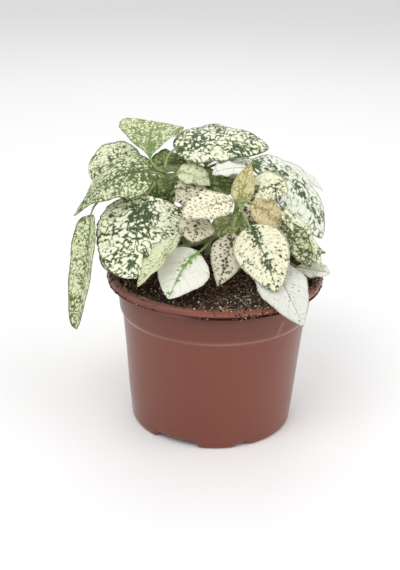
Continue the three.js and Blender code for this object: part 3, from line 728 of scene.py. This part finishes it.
# The leaves, in mm, as they lie on the solids. A leaf grows from a joint of its stem or, with a share,
# from its shoot. It has a midrib from base through middle to tip and the way its upper side faces, or
# the turn, rise and droop of a leaf that grew freely. A positive fold is a trough along the midrib, in
# degrees, and a negative one a ridge. A small taper makes blunt ends, widest is where the blade is
# widest, as a share of its length, and wave is how high its edge waves.
common_leaf = dict(
    fold=-6, taper=0.72, widest=0.455, wave=0.8, rib_green=0.1, rib_reach=3, rib_width=0.4, rim=0.3, dotted=0)
leaves = {
    "leafy_stem_1": {
        "back_left": dict(
            look="misty", joint=2, width=38, base=(-35, 6, 142), middle=(-59, 2, 138), tip=(-78, -3, 119),
            face=(-0.1, -0.55, 0.8), tip_face=(-0.65, 0.03, 0.72), taper=0.58, widest=0.36, green=-0.07,
            rib="#465a2c", rib_width=1.2, rib_green=0.22, rib_reach=8.0),
        "hanging_left": dict(
            look="misty", joint=1, width=25, base=(-68, -10, 122), middle=(-70, -18, 98),
            tip=(-76, -24, 61), face=(-0.75, -0.55, 0.15), fold=15, taper=0.36, widest=0.4, wave=0.3,
            green=-0.13),
        "upper_left": dict(
            look="speckled", joint=2, width=33, base=(-43, 21, 145), middle=(-59, 27, 141),
            tip=(-73, 30, 133), face=(-0.3, -0.6, 0.75), fold=-5, taper=0.5, widest=0.58),
        "fan": dict(
            look="fresh", joint=2, width=38, base=(-37, 10, 148), middle=(-38, 26, 156), tip=(-36, 44, 161),
            face=(0, -0.6, 0.8), fold=12, taper=0.9, widest=0.66, green=-0.04),
        "small_back": dict(
            look="green", joint=2, width=21, base=(-36, 10, 143), middle=(-26, 14, 145), tip=(-15, 18, 142),
            face=(0, -0.4, 0.9), fold=10),
        "dark_inner": dict(
            look="green", joint=2, width=21, base=(-24, 6, 138), middle=(-6, 3, 137), tip=(12, 3, 135),
            face=(0, -0.6, 0.8), fold=8),
        "top": dict(
            look="network", joint=2, width=36, base=(-24, 15, 153), middle=(1, 18, 158), tip=(28, 18, 154),
            face=(0, -0.35, 0.94), taper=0.55, widest=0.38),
        "round_left": dict(
            look="network", joint=2, width=49, base=(-38, -4, 132), middle=(-42, -27, 117),
            tip=(-44, -45, 100), face=(-0.1, -0.6, 0.8), fold=-10, taper=0.42, widest=0.34),
        "under_round": dict(
            look="speckled", joint=0, width=26, base=(-40, -7, 108), middle=(-51, -18, 105),
            tip=(-58, -29, 98), face=(-0.2, -0.4, 0.9), fold=-5),
        "shaded_low": dict(
            look="beige", joint=1, width=22, base=(-23, 0, 134), middle=(-16, -4, 135), tip=(-9, -11, 126),
            face=(0, -0.5, 0.8), fold=5, taper=0.5),
        "shaded_high": dict(
            look="plain", joint=2, width=16, base=(-22, 5, 142), middle=(-14, 2, 143), tip=(-4, -2, 138),
            face=(0, -0.5, 0.8), fold=5),
        "inner_left": dict(
            look="green", joint=1, width=11, base=(-31, 3, 126), middle=(-33, 2, 134), tip=(-33, 3, 142),
            face=(-0.2, -0.9, 0.3), fold=10),
        "inner_right": dict(
            look="green", joint=1, width=11, base=(-26, 3, 127), middle=(-24, 3, 134), tip=(-22, 4, 141),
            face=(0.1, -0.9, 0.3), fold=10),
        "low_left": dict(
            look="network", joint=0, turn=265, rise=10, droop=35, stalk=14, length=30, width=25),
    },
    "leafy_stem_2": {
        "young": dict(
            look="young", joint=2, width=13, base=(12, -14, 132), middle=(14, -12, 142), tip=(17, -10, 153),
            face=(0, -0.9, 0.4), fold=15, widest=0.35),
        "tan": dict(
            look="tan", joint=2, width=16, base=(18, -18, 134), middle=(26, -20, 129), tip=(34, -21, 122),
            face=(0, -0.8, 0.6), fold=8),
        "small_beige": dict(
            look="beige", joint=2, width=8, base=(13, -17, 132), middle=(16, -19, 130), tip=(20, -20, 124),
            face=(0, -0.8, 0.6), fold=8),
        "cream_right": dict(
            look="striped", joint=2, width=20, base=(17, -12, 136), middle=(27, -12, 141),
            tip=(37, -14, 138), face=(-0.1, -0.6, 0.8), fold=5),
        "cream_left": dict(
            look="cream", joint=2, width=21, base=(8, -18, 135), middle=(-5, -26, 134), tip=(-18, -36, 131),
            face=(0, -0.5, 0.85), fold=5),
        "small_middle": dict(
            look="beige", joint=1, width=20, base=(-9, -20, 126), middle=(-11, -28, 122),
            tip=(-12, -35, 117), face=(0, -0.8, 0.6), fold=5),
        "joint_green": dict(
            look="sprout", joint=1, width=14, base=(11, -16, 125), middle=(4, -20, 121), tip=(-5, -22, 118),
            face=(0, -0.8, 0.6), fold=10),
        "joint_low": dict(
            look="sprout", joint=2, width=10, base=(14, -17, 129), middle=(12, -19, 123),
            tip=(10, -19, 115), face=(0.1, -0.95, 0.2), fold=8),
        "front_striped": dict(
            look="striped", joint=2, width=30, base=(17, -27, 124), middle=(24, -42, 115),
            tip=(31, -55, 99), face=(0, -0.8, 0.6), fold=-8, taper=0.62, widest=0.4),
        "beige": dict(
            look="beige", joint=1, width=19, base=(8, -23, 119), middle=(6, -35, 110), tip=(1, -45, 97),
            face=(0, -0.8, 0.6), fold=5, taper=0.85),
        "edge_right": dict(
            look="cream", joint=1, width=13, base=(32, -15, 131), middle=(45, -23, 119), tip=(56, -30, 103),
            face=(0.35, -0.45, 0.8), fold=8, green=-0.12, size=2.0, ground="#e2e4c2", fleck="#455229",
            dotted=0.3),
        # The shaded near half of the folded leaf whose lit half is edge_right, partly painted shade in its
        # darker look.
        "olive_right": dict(
            look="shaded_olive", joint=1, width=17, base=(31, -16, 122), middle=(40, -30, 118), tip=(49, -39, 106),
            face=(0.2, -0.75, 0.6), fold=10),
        "over_rim": dict(
            look="white", joint=0, width=29, base=(27, -33, 109), middle=(35, -49, 100), tip=(45, -62, 83),
            face=(0.3, -0.7, 0.6), fold=-5, taper=0.85, ground="#d6d6cd"),
        "front_white": dict(
            look="bright_rib", share=0.45, width=29, base=(-9, -33, 111), middle=(-17, -44, 106),
            tip=(-24, -54, 93), face=(-0.1, -0.75, 0.65), fold=-5, ground="#e3e2d6"),
        "folded_left": dict(
            look="plain", share=0.5, width=18, base=(-20, -33, 121), middle=(-29, -45, 112),
            tip=(-40, -53, 99), face=(-0.65, -0.33, 0.6), fold=10),
    },
    "leafy_stem_3": {
        "big_right": dict(
            look="pearl", joint=2, width=41, base=(18, 5, 149), middle=(42, 4, 138), tip=(58, -4, 110),
            face=(0.45, -0.35, 0.82), fold=-8, taper=0.62, widest=0.5),
        "far_right": dict(
            look="white", joint=2, width=22, base=(31, 33, 140), middle=(48, 35, 137), tip=(61, 32, 126),
            face=(0.3, 0, 0.95), fold=-5),
        "under_top": dict(
            look="white", joint=2, width=16, base=(17, 2, 147), middle=(5, -3, 148), tip=(-3, -5, 145),
            face=(0, -0.2, 1), fold=0),
        # Its ground is whiter than the white look's, as painted light that makes up for the shade it gets at
        # this tilt.
        "rim_right": dict(
            look="white", joint=1, width=13, base=(44, -17, 98), middle=(53, -24, 99), tip=(61, -28, 99),
            face=(0.2, -0.5, 0.8), fold=5, ground="#f2f3e8"),
        "side_right": dict(
            look="speckled", joint=1, turn=115, rise=5, droop=45, stalk=8, length=30, width=22),
        "low_right": dict(
            look="network", joint=0, turn=85, rise=0, droop=30, stalk=12, length=28, width=22),
    },
    "leafy_stem_4": {
        "back_1": dict(look="network", joint=2, turn=175, rise=28, droop=70, stalk=9, length=46, width=34),
        "back_2": dict(
            look="speckled", joint=2, turn=235, rise=18, droop=60, stalk=10, length=42, width=31),
        "back_3": dict(look="pearl", joint=2, turn=112, rise=22, droop=60, stalk=9, length=38, width=27),
        "back_young": dict(look="young", joint=2, turn=20, rise=60, droop=20, stalk=4, length=16, width=10),
        "back_4": dict(look="network", joint=1, turn=205, rise=12, droop=55, stalk=14, length=46, width=34),
        "back_5": dict(
            look="speckled", joint=1, turn=264, rise=10, droop=40, stalk=14, length=38, width=28),
        "back_6": dict(look="cream", joint=0, turn=188, rise=8, droop=40, stalk=13, length=36, width=28),
        "back_11": dict(look="striped", joint=0, turn=242, rise=4, droop=30, stalk=14, length=34, width=26),
        "back_12": dict(look="misty", joint=1, turn=150, rise=24, droop=55, stalk=8, length=34, width=25),
    },
    "leafy_stem_5": {
        "back_7": dict(look="network", joint=2, turn=140, rise=15, droop=60, stalk=9, length=42, width=31),
        "back_8": dict(look="pearl", joint=2, turn=95, rise=10, droop=50, stalk=8, length=32, width=25),
        "back_9": dict(look="cream", joint=1, turn=180, rise=12, droop=50, stalk=9, length=36, width=27),
        "back_10": dict(
            look="speckled", joint=0, turn=104, rise=5, droop=35, stalk=10, length=32, width=25),
        "back_13": dict(look="striped", joint=0, turn=172, rise=4, droop=35, stalk=10, length=34, width=26),
        "small_young": dict(
            look="young", joint=2, turn=350, rise=55, droop=20, stalk=4, length=14, width=9),
    },
}


def curve_point(points, share):
    """A point of the smooth centripetal curve through the points, as on the solids."""
    points = [np.array(p, float) for p in points]
    place = (len(points) - 1) * share
    first = min(int(place), len(points) - 2)
    part = place - first
    b, c = points[first], points[first + 1]
    a = points[first - 1] if first > 0 else 2 * b - c
    d = points[first + 2] if first + 2 < len(points) else 2 * c - b
    before, middle, after = (np.linalg.norm(q - p) ** 0.5 for p, q in ((a, b), (b, c), (c, d)))
    leave = ((b - a) / before - (c - a) / (before + middle) + (c - b) / middle) * middle
    reach = ((c - b) / middle - (d - b) / (middle + after) + (d - c) / after) * middle
    square = -3 * b + 3 * c - 2 * leave - reach
    cube = 2 * b - 2 * c + leave + reach
    return b + leave * part + square * part ** 2 + cube * part ** 3


def unit(vector):
    return vector / np.linalg.norm(vector, axis=-1, keepdims=True)


def joint_place(stem, joint):
    return curve_point(stem["route"], stem["joints"][joint])


def shoot_route(stem):
    return (tuple(joint_place(stem, 0)), *stem["shoot"])


def aim(turn, rise, reach):
    """A step of so many mm, at a turn round the pot and a rise over level ground."""
    turn, rise = math.radians(turn), math.radians(rise)
    flat = reach * math.cos(rise)
    return np.array([flat * math.sin(turn), -flat * math.cos(turn), reach * math.sin(rise)])


def placed(stem, leaf):
    """A leaf with its look, the three points of its midrib and where its stalk starts."""
    whole = common_leaf | looks[leaf["look"]] | leaf
    if "share" in leaf:
        whole["start"] = curve_point(shoot_route(stem), leaf["share"] * SHOOT_END)
    else:
        whole["start"] = joint_place(stem, leaf["joint"])
    if "base" not in leaf:
        turn, rise, droop, half = leaf["turn"], leaf["rise"], leaf["droop"], leaf["length"] / 2
        whole["base"] = whole["start"] + aim(turn, rise, leaf["stalk"])
        whole["middle"] = whole["base"] + aim(turn, rise - 0.3 * droop, half)
        whole["tip"] = whole["middle"] + aim(turn, rise - 0.8 * droop, half)
        whole["face"] = aim(turn, rise - 0.5 * droop + 90, 1)
    whole.setdefault("tip_face", whole["face"])
    for key in ("base", "middle", "tip", "face", "tip_face"):
        whole[key] = np.array(whole[key], float)
    return whole


def midrib_of(leaf, share):
    """Places along the midrib, and which way it runs, lies across and faces there."""
    base, tip = leaf["base"], leaf["tip"]
    bend = 2 * leaf["middle"] - (base + tip) / 2
    share = np.asarray(share, float)[:, None]
    place = (1 - share) ** 2 * base + 2 * share * (1 - share) * bend + share ** 2 * tip
    along = unit((1 - share) * (bend - base) + share * (tip - bend))
    face = unit(leaf["face"])
    across = unit(np.cross(along, face + (unit(leaf["tip_face"]) - face) * share))
    return place, along, across, np.cross(across, along)


def blade(leaf, number):
    """A leaf blade: its points, its faces and what the leaf tissue's material reads at each point."""
    rows, columns = BLADE_ROWS, BLADE_COLUMNS
    share = (1 - np.cos(np.pi * np.arange(rows + 1) / rows)) / 2
    side = np.linspace(-1, 1, columns + 1)[None, :]
    place, _, across, up = midrib_of(leaf, share)
    step = np.linalg.norm(np.diff(place, axis=0), axis=1)
    run = np.concatenate([[0], np.cumsum(step)])[:, None]
    length = run[-1, 0]
    swell = np.sin(np.pi * np.clip(share, 1e-6, 1 - 1e-6) ** (math.log(0.5) / math.log(leaf["widest"])))
    swell **= leaf["taper"]
    half = np.maximum(0.08, leaf["width"] / 2 * swell)[:, None]
    share = share[:, None]
    # The outline is faintly crimped, 9 and 17 times along it. Reach is the way from the midrib in mm.
    crimp = 0.98 + 0.012 * np.sin(2 * np.pi * 9 * share + side)
    crimp = crimp + 0.008 * np.sin(2 * np.pi * 17 * share + number)
    reach = half * side * crimp
    # The blade folds at the midrib, waves at its edge, swells between veins and sinks along the rib.
    fold = math.radians(leaf["fold"])
    wave = leaf["wave"] * np.sin(2 * np.pi * WAVES_PER_BLADE * share + np.sign(side)) * side ** 2
    vein = VEIN_PAIRS * share - VEIN_LEAN * abs(side) + 0.25 * (side > 0)
    off_vein = abs(vein - np.round(vein)) * length / VEIN_PAIRS
    inner = np.sin(np.pi * share) ** 0.6 * (1 - abs(side) ** 6)
    quilt = QUILT_HEIGHT * np.minimum(off_vein / 1.6, 1) * inner * np.minimum(abs(reach) / 2, 1)
    furrow = -RIB_FURROW_DEPTH * np.exp(-(reach / RIB_FURROW_WIDTH) ** 2)
    furrow = furrow * np.sin(np.pi * np.clip(share, 0.02, 1)) ** 0.5
    height = half * np.sin(fold) * abs(side) ** 1.4 + wave * np.sin(np.pi * share) + quilt + furrow
    middle = place[:, None] + across[:, None] * (reach * math.cos(fold))[..., None]
    middle += up[:, None] * height[..., None]
    # Each skin stands off by half the thickness, and the lower one by the rib as well.
    normal = unit(np.cross(np.gradient(middle, axis=1), np.gradient(middle, axis=0)))
    thick = (BLADE_THICKNESS / 2 * (1 - 0.6 * abs(side) ** 8))[..., None]
    rib = (RIB_HEIGHT * np.exp(-(reach / RIB_WIDTH) ** 2) * (1 - 0.8 * share))[..., None]
    upper = (middle + normal * thick).reshape(-1, 3)
    lower = (middle - normal * (thick + rib)).reshape(-1, 3)
    marks = blade_marks(leaf, number, share, run, reach, half, vein)
    return np.concatenate([upper, lower]), blade_faces(len(upper)), marks


def blade_faces(count):
    """The faces of a blade's upper skin, of its lower skin, so many points later, and of its edge."""
    rows, columns = BLADE_ROWS, BLADE_COLUMNS

    def at(row, column):
        return row * (columns + 1) + column

    faces = []
    for row in range(rows):
        for column in range(columns):
            ring = (at(row, column), at(row, column + 1), at(row + 1, column + 1), at(row + 1, column))
            faces.append(ring)
            faces.append(tuple(p + count for p in reversed(ring)))
    border = [at(0, c) for c in range(columns)] + [at(r, columns) for r in range(rows)]
    border += [at(rows, c) for c in range(columns, 0, -1)] + [at(r, 0) for r in range(rows, 0, -1)]
    for a, b in zip(border, border[1:] + border[:1]):
        faces.append((b, a, a + count, b + count))
    return faces


def blade_marks(leaf, number, share, run, reach, half, vein):
    """What the leaf tissue reads at each point of the upper skin and then of the lower. Flecks lean
    along the side veins, and each leaf draws its own from another part of the noise."""
    flat = np.ones_like(reach)
    lean = (run * flat - 0.25 * abs(reach)) / leaf["size"]
    spots = np.stack([lean + number * 7.3, reach / leaf["size"] * 0.9 + number * 3.1, 0 * reach], 2)
    near_rib = np.exp(-(reach / leaf["rib_reach"]) ** 2) * (1 - 0.6 * share)
    marks = {
        "spots": spots,
        "green": leaf["green"] + leaf["rib_green"] * near_rib,
        "dotted": leaf["dotted"] * flat,
        "rib": np.stack([abs(reach), leaf["rib_width"] * (1.1 - share) * flat, vein], 2),
        "margin": np.stack([half - abs(reach), leaf["rim"] * flat, 0 * flat], 2),
        "ground": np.array(linear(leaf["ground"])) * flat[..., None],
        "fleck": np.array(linear(leaf["fleck"])) * flat[..., None],
        "rib_colour": np.array(linear(leaf["rib"])) * flat[..., None],
    }
    for name, values in marks.items():
        values = values.reshape(flat.size, -1)
        marks[name] = np.concatenate([values, values])
    marks["margin"][flat.size:, 2] = 1
    return marks


def tube(points, radii, sides):
    """A round bar through points in mm, closed at both ends."""
    points = np.array(points, float)
    along = unit(np.gradient(points, axis=0))
    across = unit(np.cross(along[0], [0.31, 0.84, 0.45]))
    rings = []
    turns = 2 * np.pi * np.arange(sides) / sides
    for place, way, radius in zip(points, along, radii):
        across = unit(across - way * np.dot(across, way))
        other = np.cross(way, across)
        rings.append(place + radius * (np.cos(turns)[:, None] * across + np.sin(turns)[:, None] * other))
    last = (len(points) - 1) * sides
    ends = [tuple(reversed(range(sides))), tuple(range(last, last + sides))]
    return np.concatenate(rings), [ends[0], *bands(len(points), sides), ends[1]]


def stalk(leaf):
    """The leaf stalk leaves the stem and runs into the midrib."""
    base, along, _, _ = (v[0] for v in midrib_of(leaf, [0.0]))
    start = leaf["start"]
    reach = np.linalg.norm(start - base) * 0.4
    rising = start + (base - start) * 0.3 + np.array([0, 0, reach * 0.3])
    arriving = base - along * reach
    in_blade = base + along * STALK_INTO_BLADE
    shares = np.linspace(0, 1, STALK_RINGS)[:, None]
    points = (1 - shares) ** 3 * start + 3 * shares * (1 - shares) ** 2 * rising
    points = points + 3 * shares ** 2 * (1 - shares) * arriving + shares ** 3 * in_blade
    radii = STALK_RADIUS * (1.25 - 0.5 * shares[:, 0] - 0.45 * shares[:, 0] ** 6)
    return tube(points, radii, STALK_SIDES)


def stem_bar(route, joints, radius, foot=None):
    """A stem through its route, swollen at its joints and narrower towards its tip."""
    shares = np.linspace(0, 1, STEM_RINGS)
    points = [curve_point(route, s) for s in shares]
    swelling = sum(np.exp(-((shares - j) / JOINT_LENGTH) ** 2) for j in joints)
    radii = radius * (1 - 0.25 * shares) * (1 + JOINT_SWELLING * swelling)
    if foot is not None:
        points = [np.array([*route[0][:2], foot]), *points]
        radii = np.concatenate([[radius], radii])
    return tube(points, radii, STEM_SIDES)


# Flecks are strokes along bands of noise or dots round cells, with torn edges and uneven cover.
def flecks(tree, spots, green, dotted, ragged, fine):
    """Where the flecks are, with a faint halo. Spots are places in steps of the flecks' spacing."""
    shift = add(tree, "ShaderNodeVectorMath", {
        0: ragged.outputs[1], 1: (0.5, 0.5, 0.5),
    }, operation="SUBTRACT")
    torn = add(tree, "ShaderNodeVectorMath", {0: shift, 1: (1.5, 1.5, 0), 2: spots}, operation="MULTIPLY_ADD")
    banded = add(tree, "ShaderNodeTexNoise", {"Vector": torn, "Scale": 0.85, "Detail": 1.0})
    centred = add(tree, "ShaderNodeMath", {0: banded, 1: 0.5}, operation="SUBTRACT")
    off_band = add(tree, "ShaderNodeMath", {0: centred}, operation="ABSOLUTE")
    strokes = add(tree, "ShaderNodeMath", {0: off_band, 1: -4.0, 2: 0.95}, operation="MULTIPLY_ADD")
    cells = add(tree, "ShaderNodeTexVoronoi", {"Vector": torn, "Scale": 1.0}, voronoi_dimensions="2D")
    dots = add(tree, "ShaderNodeMath", {
        0: cells.outputs["Distance"], 1: -1.3, 2: 1.1,
    }, operation="MULTIPLY_ADD")
    shapes = add(tree, "ShaderNodeMix", {0: dotted, 2: strokes, 3: dots})
    drift = add(tree, "ShaderNodeTexNoise", {"Vector": spots, "Scale": 0.3, "Detail": 2.0})
    drifted = add(tree, "ShaderNodeMath", {0: drift, 1: 0.8, 2: shapes}, operation="MULTIPLY_ADD")
    rough = add(tree, "ShaderNodeMath", {0: fine, 1: 0.8, 2: drifted}, operation="MULTIPLY_ADD")
    cover = add(tree, "ShaderNodeMath", {0: rough, 1: green}, operation="ADD")
    dark = add(tree, "ShaderNodeMapRange", {
        "Value": cover, "From Min": 1.41, "From Max": 1.51,
    }, interpolation_type="SMOOTHSTEP")
    halo = add(tree, "ShaderNodeMapRange", {
        "Value": cover, "From Min": 1.21, "From Max": 1.43, "To Max": 0.25,
    }, interpolation_type="SMOOTHSTEP")
    return add(tree, "ShaderNodeMath", {0: dark, 1: halo}, operation="MAXIMUM")


# Leaf tissue: a soft thin blade, splashed cream where its cells lack green. It lets some light
# through, and its skin gives a dull sheen. Over the flecks come the midrib with its ragged edge, the
# faint side veins, the dark margin and, on the lower side, a paler tone.
def leaf_tissue():
    material, tree, shader = new_material("variegated_leaf_tissue")

    def read(part, *names):
        return [add(tree, "ShaderNodeAttribute", attribute_name=name).outputs[part] for name in names]

    spots, rib, margin = read("Vector", "spots", "rib", "margin")
    green, dotted = read("Fac", "green", "dotted")
    ground, fleck, rib_colour = read("Color", "ground", "fleck", "rib_colour")
    from_rib, rib_width, vein = add(tree, "ShaderNodeSeparateXYZ", {0: rib}).outputs
    from_edge, rim, lower_side = add(tree, "ShaderNodeSeparateXYZ", {0: margin}).outputs
    ragged, fine = (
        add(tree, "ShaderNodeTexNoise", {
            "Vector": spots, "Scale": scale, "Detail": detail, "Roughness": 0.75,
        }) for scale, detail in ((1.9, 5.0), (2.6, 4.0))
    )
    flecked = flecks(tree, spots, green, dotted, ragged, fine)
    rib_edge = add(tree, "ShaderNodeMath", {0: ragged, 1: 0.8, 2: from_rib}, operation="MULTIPLY_ADD")
    past_rib = add(tree, "ShaderNodeMath", {0: rib_edge, 1: rib_width}, operation="SUBTRACT")
    on_rib = add(tree, "ShaderNodeMapRange", {
        "Value": past_rib, "From Min": 0.25, "From Max": 0.6, "To Min": 0.8, "To Max": 0.0,
    }, interpolation_type="SMOOTHSTEP")
    off_vein = add(tree, "ShaderNodeMath", {0: vein, 1: 0.5}, operation="PINGPONG")
    on_vein = add(tree, "ShaderNodeMapRange", {
        "Value": off_vein, "From Min": 0.02, "From Max": 0.1, "To Min": 0.12, "To Max": 0.0,
    })
    uneven = add(tree, "ShaderNodeMath", {0: fine, 1: -2.6, 2: from_edge}, operation="MULTIPLY_ADD")
    on_margin = add(tree, "ShaderNodeMapRange", {
        "Value": uneven, "From Min": -0.3, "From Max": 0.05, "To Min": rim, "To Max": 0.0,
    })
    beneath = add(tree, "ShaderNodeMath", {0: lower_side, 1: 0.45}, operation="MULTIPLY")
    colour = ground
    for share, tint in (
        (flecked, fleck), (on_rib, rib_colour), (on_vein, rib_colour), (on_margin, fleck),
        (beneath, linear("#c4c9a2")),
    ):
        layer = {0: share, 6: colour, 7: tint}
        colour = add(tree, "ShaderNodeMix", layer, data_type="RGBA").outputs[2]
    pores = add(tree, "ShaderNodeTexNoise", {"Vector": spots, "Scale": 5.0, "Detail": 2.0})
    bump = add(tree, "ShaderNodeBump", {"Height": pores, "Strength": 0.35, "Distance": 0.25 * MM})
    give(tree, shader, {
        "Base Color": colour, "Roughness": 0.52, "Subsurface Weight": 0.25,
        "Subsurface Radius": (1.0, 1.0, 0.5), "Subsurface Scale": 1.0 * MM, "Normal": bump,
    })
    return material


# Stem tissue: soft and juicy, green with paler streaks, so that light spreads a little inside it.
def stem_tissue():
    material, tree, shader = new_material("green_stem_tissue")
    place = add(tree, "ShaderNodeTexCoord").outputs["Object"]
    mottle = add(tree, "ShaderNodeTexNoise", {"Vector": place, "Scale": 0.35 / MM, "Detail": 3.0})
    colour = add(tree, "ShaderNodeMix", {
        0: mottle, 6: linear("#6d7c3f"), 7: linear("#a9b179"),
    }, data_type="RGBA").outputs[2]
    give(tree, shader, {
        "Base Color": colour, "Roughness": 0.5, "Subsurface Weight": 0.2,
        "Subsurface Radius": (1.0, 1.0, 0.4), "Subsurface Scale": 1.0 * MM,
    })
    return material


def make_leafy_stem(name, stem, tissues, first_number):
    """A stem with its stalks and blades as one piece. Its attribute named amount says where down grows."""
    grown = [placed(stem, leaf) for leaf in leaves[name].values()]
    bars = [stem_bar(stem["route"], stem["joints"], STEM_RADIUS, STEM_FOOT)]
    if "shoot" in stem:
        bars.append(stem_bar(shoot_route(stem), SHOOT_JOINTS, SHOOT_RADIUS))
    bars += [stalk(leaf) for leaf in grown]
    blades = [blade(leaf, number) for number, leaf in enumerate(grown, first_number)]
    points = []
    faces = []
    slots = []
    for slot, parts in enumerate((bars, blades)):
        for part in parts:
            first = sum(len(p) for p in points)
            points.append(part[0])
            faces += [tuple(v + first for v in face) for face in part[1]]
            slots += [slot] * len(part[1])
    piece = object_of(name, np.concatenate(points), faces, tissues)
    piece.data.polygons.foreach_set("material_index", slots)
    bar_points = sum(len(bar[0]) for bar in bars)
    for mark in blades[0][2]:
        on_blades = np.concatenate([marks[mark] for _, _, marks in blades])
        record(piece.data, mark, np.concatenate([np.zeros((bar_points, on_blades.shape[1])), on_blades]))
    record(piece.data, "amount", np.arange(len(piece.data.vertices)) < bar_points)
    return piece


# Stems and stalks are downy: short, soft, pale hairs stand all over them.
def hair(tree):
    return add(tree, "GeometryNodeMeshCone", {
        "Vertices": 3, "Side Segments": 1, "Radius Bottom": 0.05, "Radius Top": 0.01, "Depth": 1.0,
    })


tissues = [stem_tissue(), leaf_tissue()]
down_hair = matt("plant_hair", "#8d9862", "#cdd2a8", 0.3, 0.6)
leaves_so_far = 0
for name, stem in stems.items():
    leafy_stem = make_leafy_stem(name, stem, tissues, leaves_so_far)
    leaves_so_far += len(leaves[name])
    down = scattered(f"{name}_hairs", leafy_stem, hair, down_hair, 1.6, (0.4, 1.1), leaves_so_far, tilt=0.5)
    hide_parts(name)
    for piece in (leafy_stem, down):
        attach(piece, "root")


# Setting: a plain pale floor under three soft lamps and even white light, seen from a little above.
# The camera stands 600 mm from its target and is turned a little about its own axis.
FLOOR_REACH = 4000
PLANT_MIDDLE = (0, 0, 80)
CAMERA_PLACE = (-8.1, -554.4, 308.1)
CAMERA_TARGET = (-8.1, 0, 78.8)
CAMERA_ROLL = 1.43
SENSOR_WIDTH = 36
LENS = 67.3


def make_floor():
    corners = [(x * FLOOR_REACH, y * FLOOR_REACH, 0) for x, y in ((-1, -1), (1, -1), (1, 1), (-1, 1))]
    material, tree, shader = new_material("pale_floor")
    give(tree, shader, {"Base Color": linear("#f4f4f4"), "Roughness": 0.9, "Specular IOR Level": 0.1})
    object_of("floor", corners, [(0, 1, 2, 3)], [material])


def make_light(name, place, size, watts):
    lamp = bpy.data.lights.new(name, "AREA")
    lamp.shape = "SQUARE"
    lamp.size = size * MM
    lamp.energy = watts
    light = in_scene(name, lamp)
    light.location = Vector(place) * MM
    light.rotation_euler = (Vector(PLANT_MIDDLE) - Vector(place)).to_track_quat("-Z", "Y").to_euler()


def make_camera():
    camera = in_scene("camera", bpy.data.cameras.new("camera"))
    camera.data.sensor_width = SENSOR_WIDTH
    camera.data.lens = LENS
    camera.data.clip_start = 0.01
    place = Vector(CAMERA_PLACE) * MM
    upright = (Vector(CAMERA_TARGET) * MM - place).to_track_quat("-Z", "Y").to_matrix().to_4x4()
    roll = Matrix.Rotation(math.radians(CAMERA_ROLL), 4, "Z")
    camera.matrix_world = Matrix.Translation(place) @ upright @ roll
    bpy.context.scene.camera = camera


make_floor()
make_light("key", (-400, -600, 1000), 700, 5.3)
make_light("fill", (850, -250, 420), 800, 3)
make_light("back", (0, 800, 900), 700, 2.2)
world = bpy.data.worlds.new("studio")
world.use_nodes = True
give(world.node_tree, world.node_tree.nodes["Background"], {"Color": (1, 1, 1, 1), "Strength": 0.75})
bpy.context.scene.world = world
bpy.context.scene.view_settings.view_transform = "Standard"
make_camera()
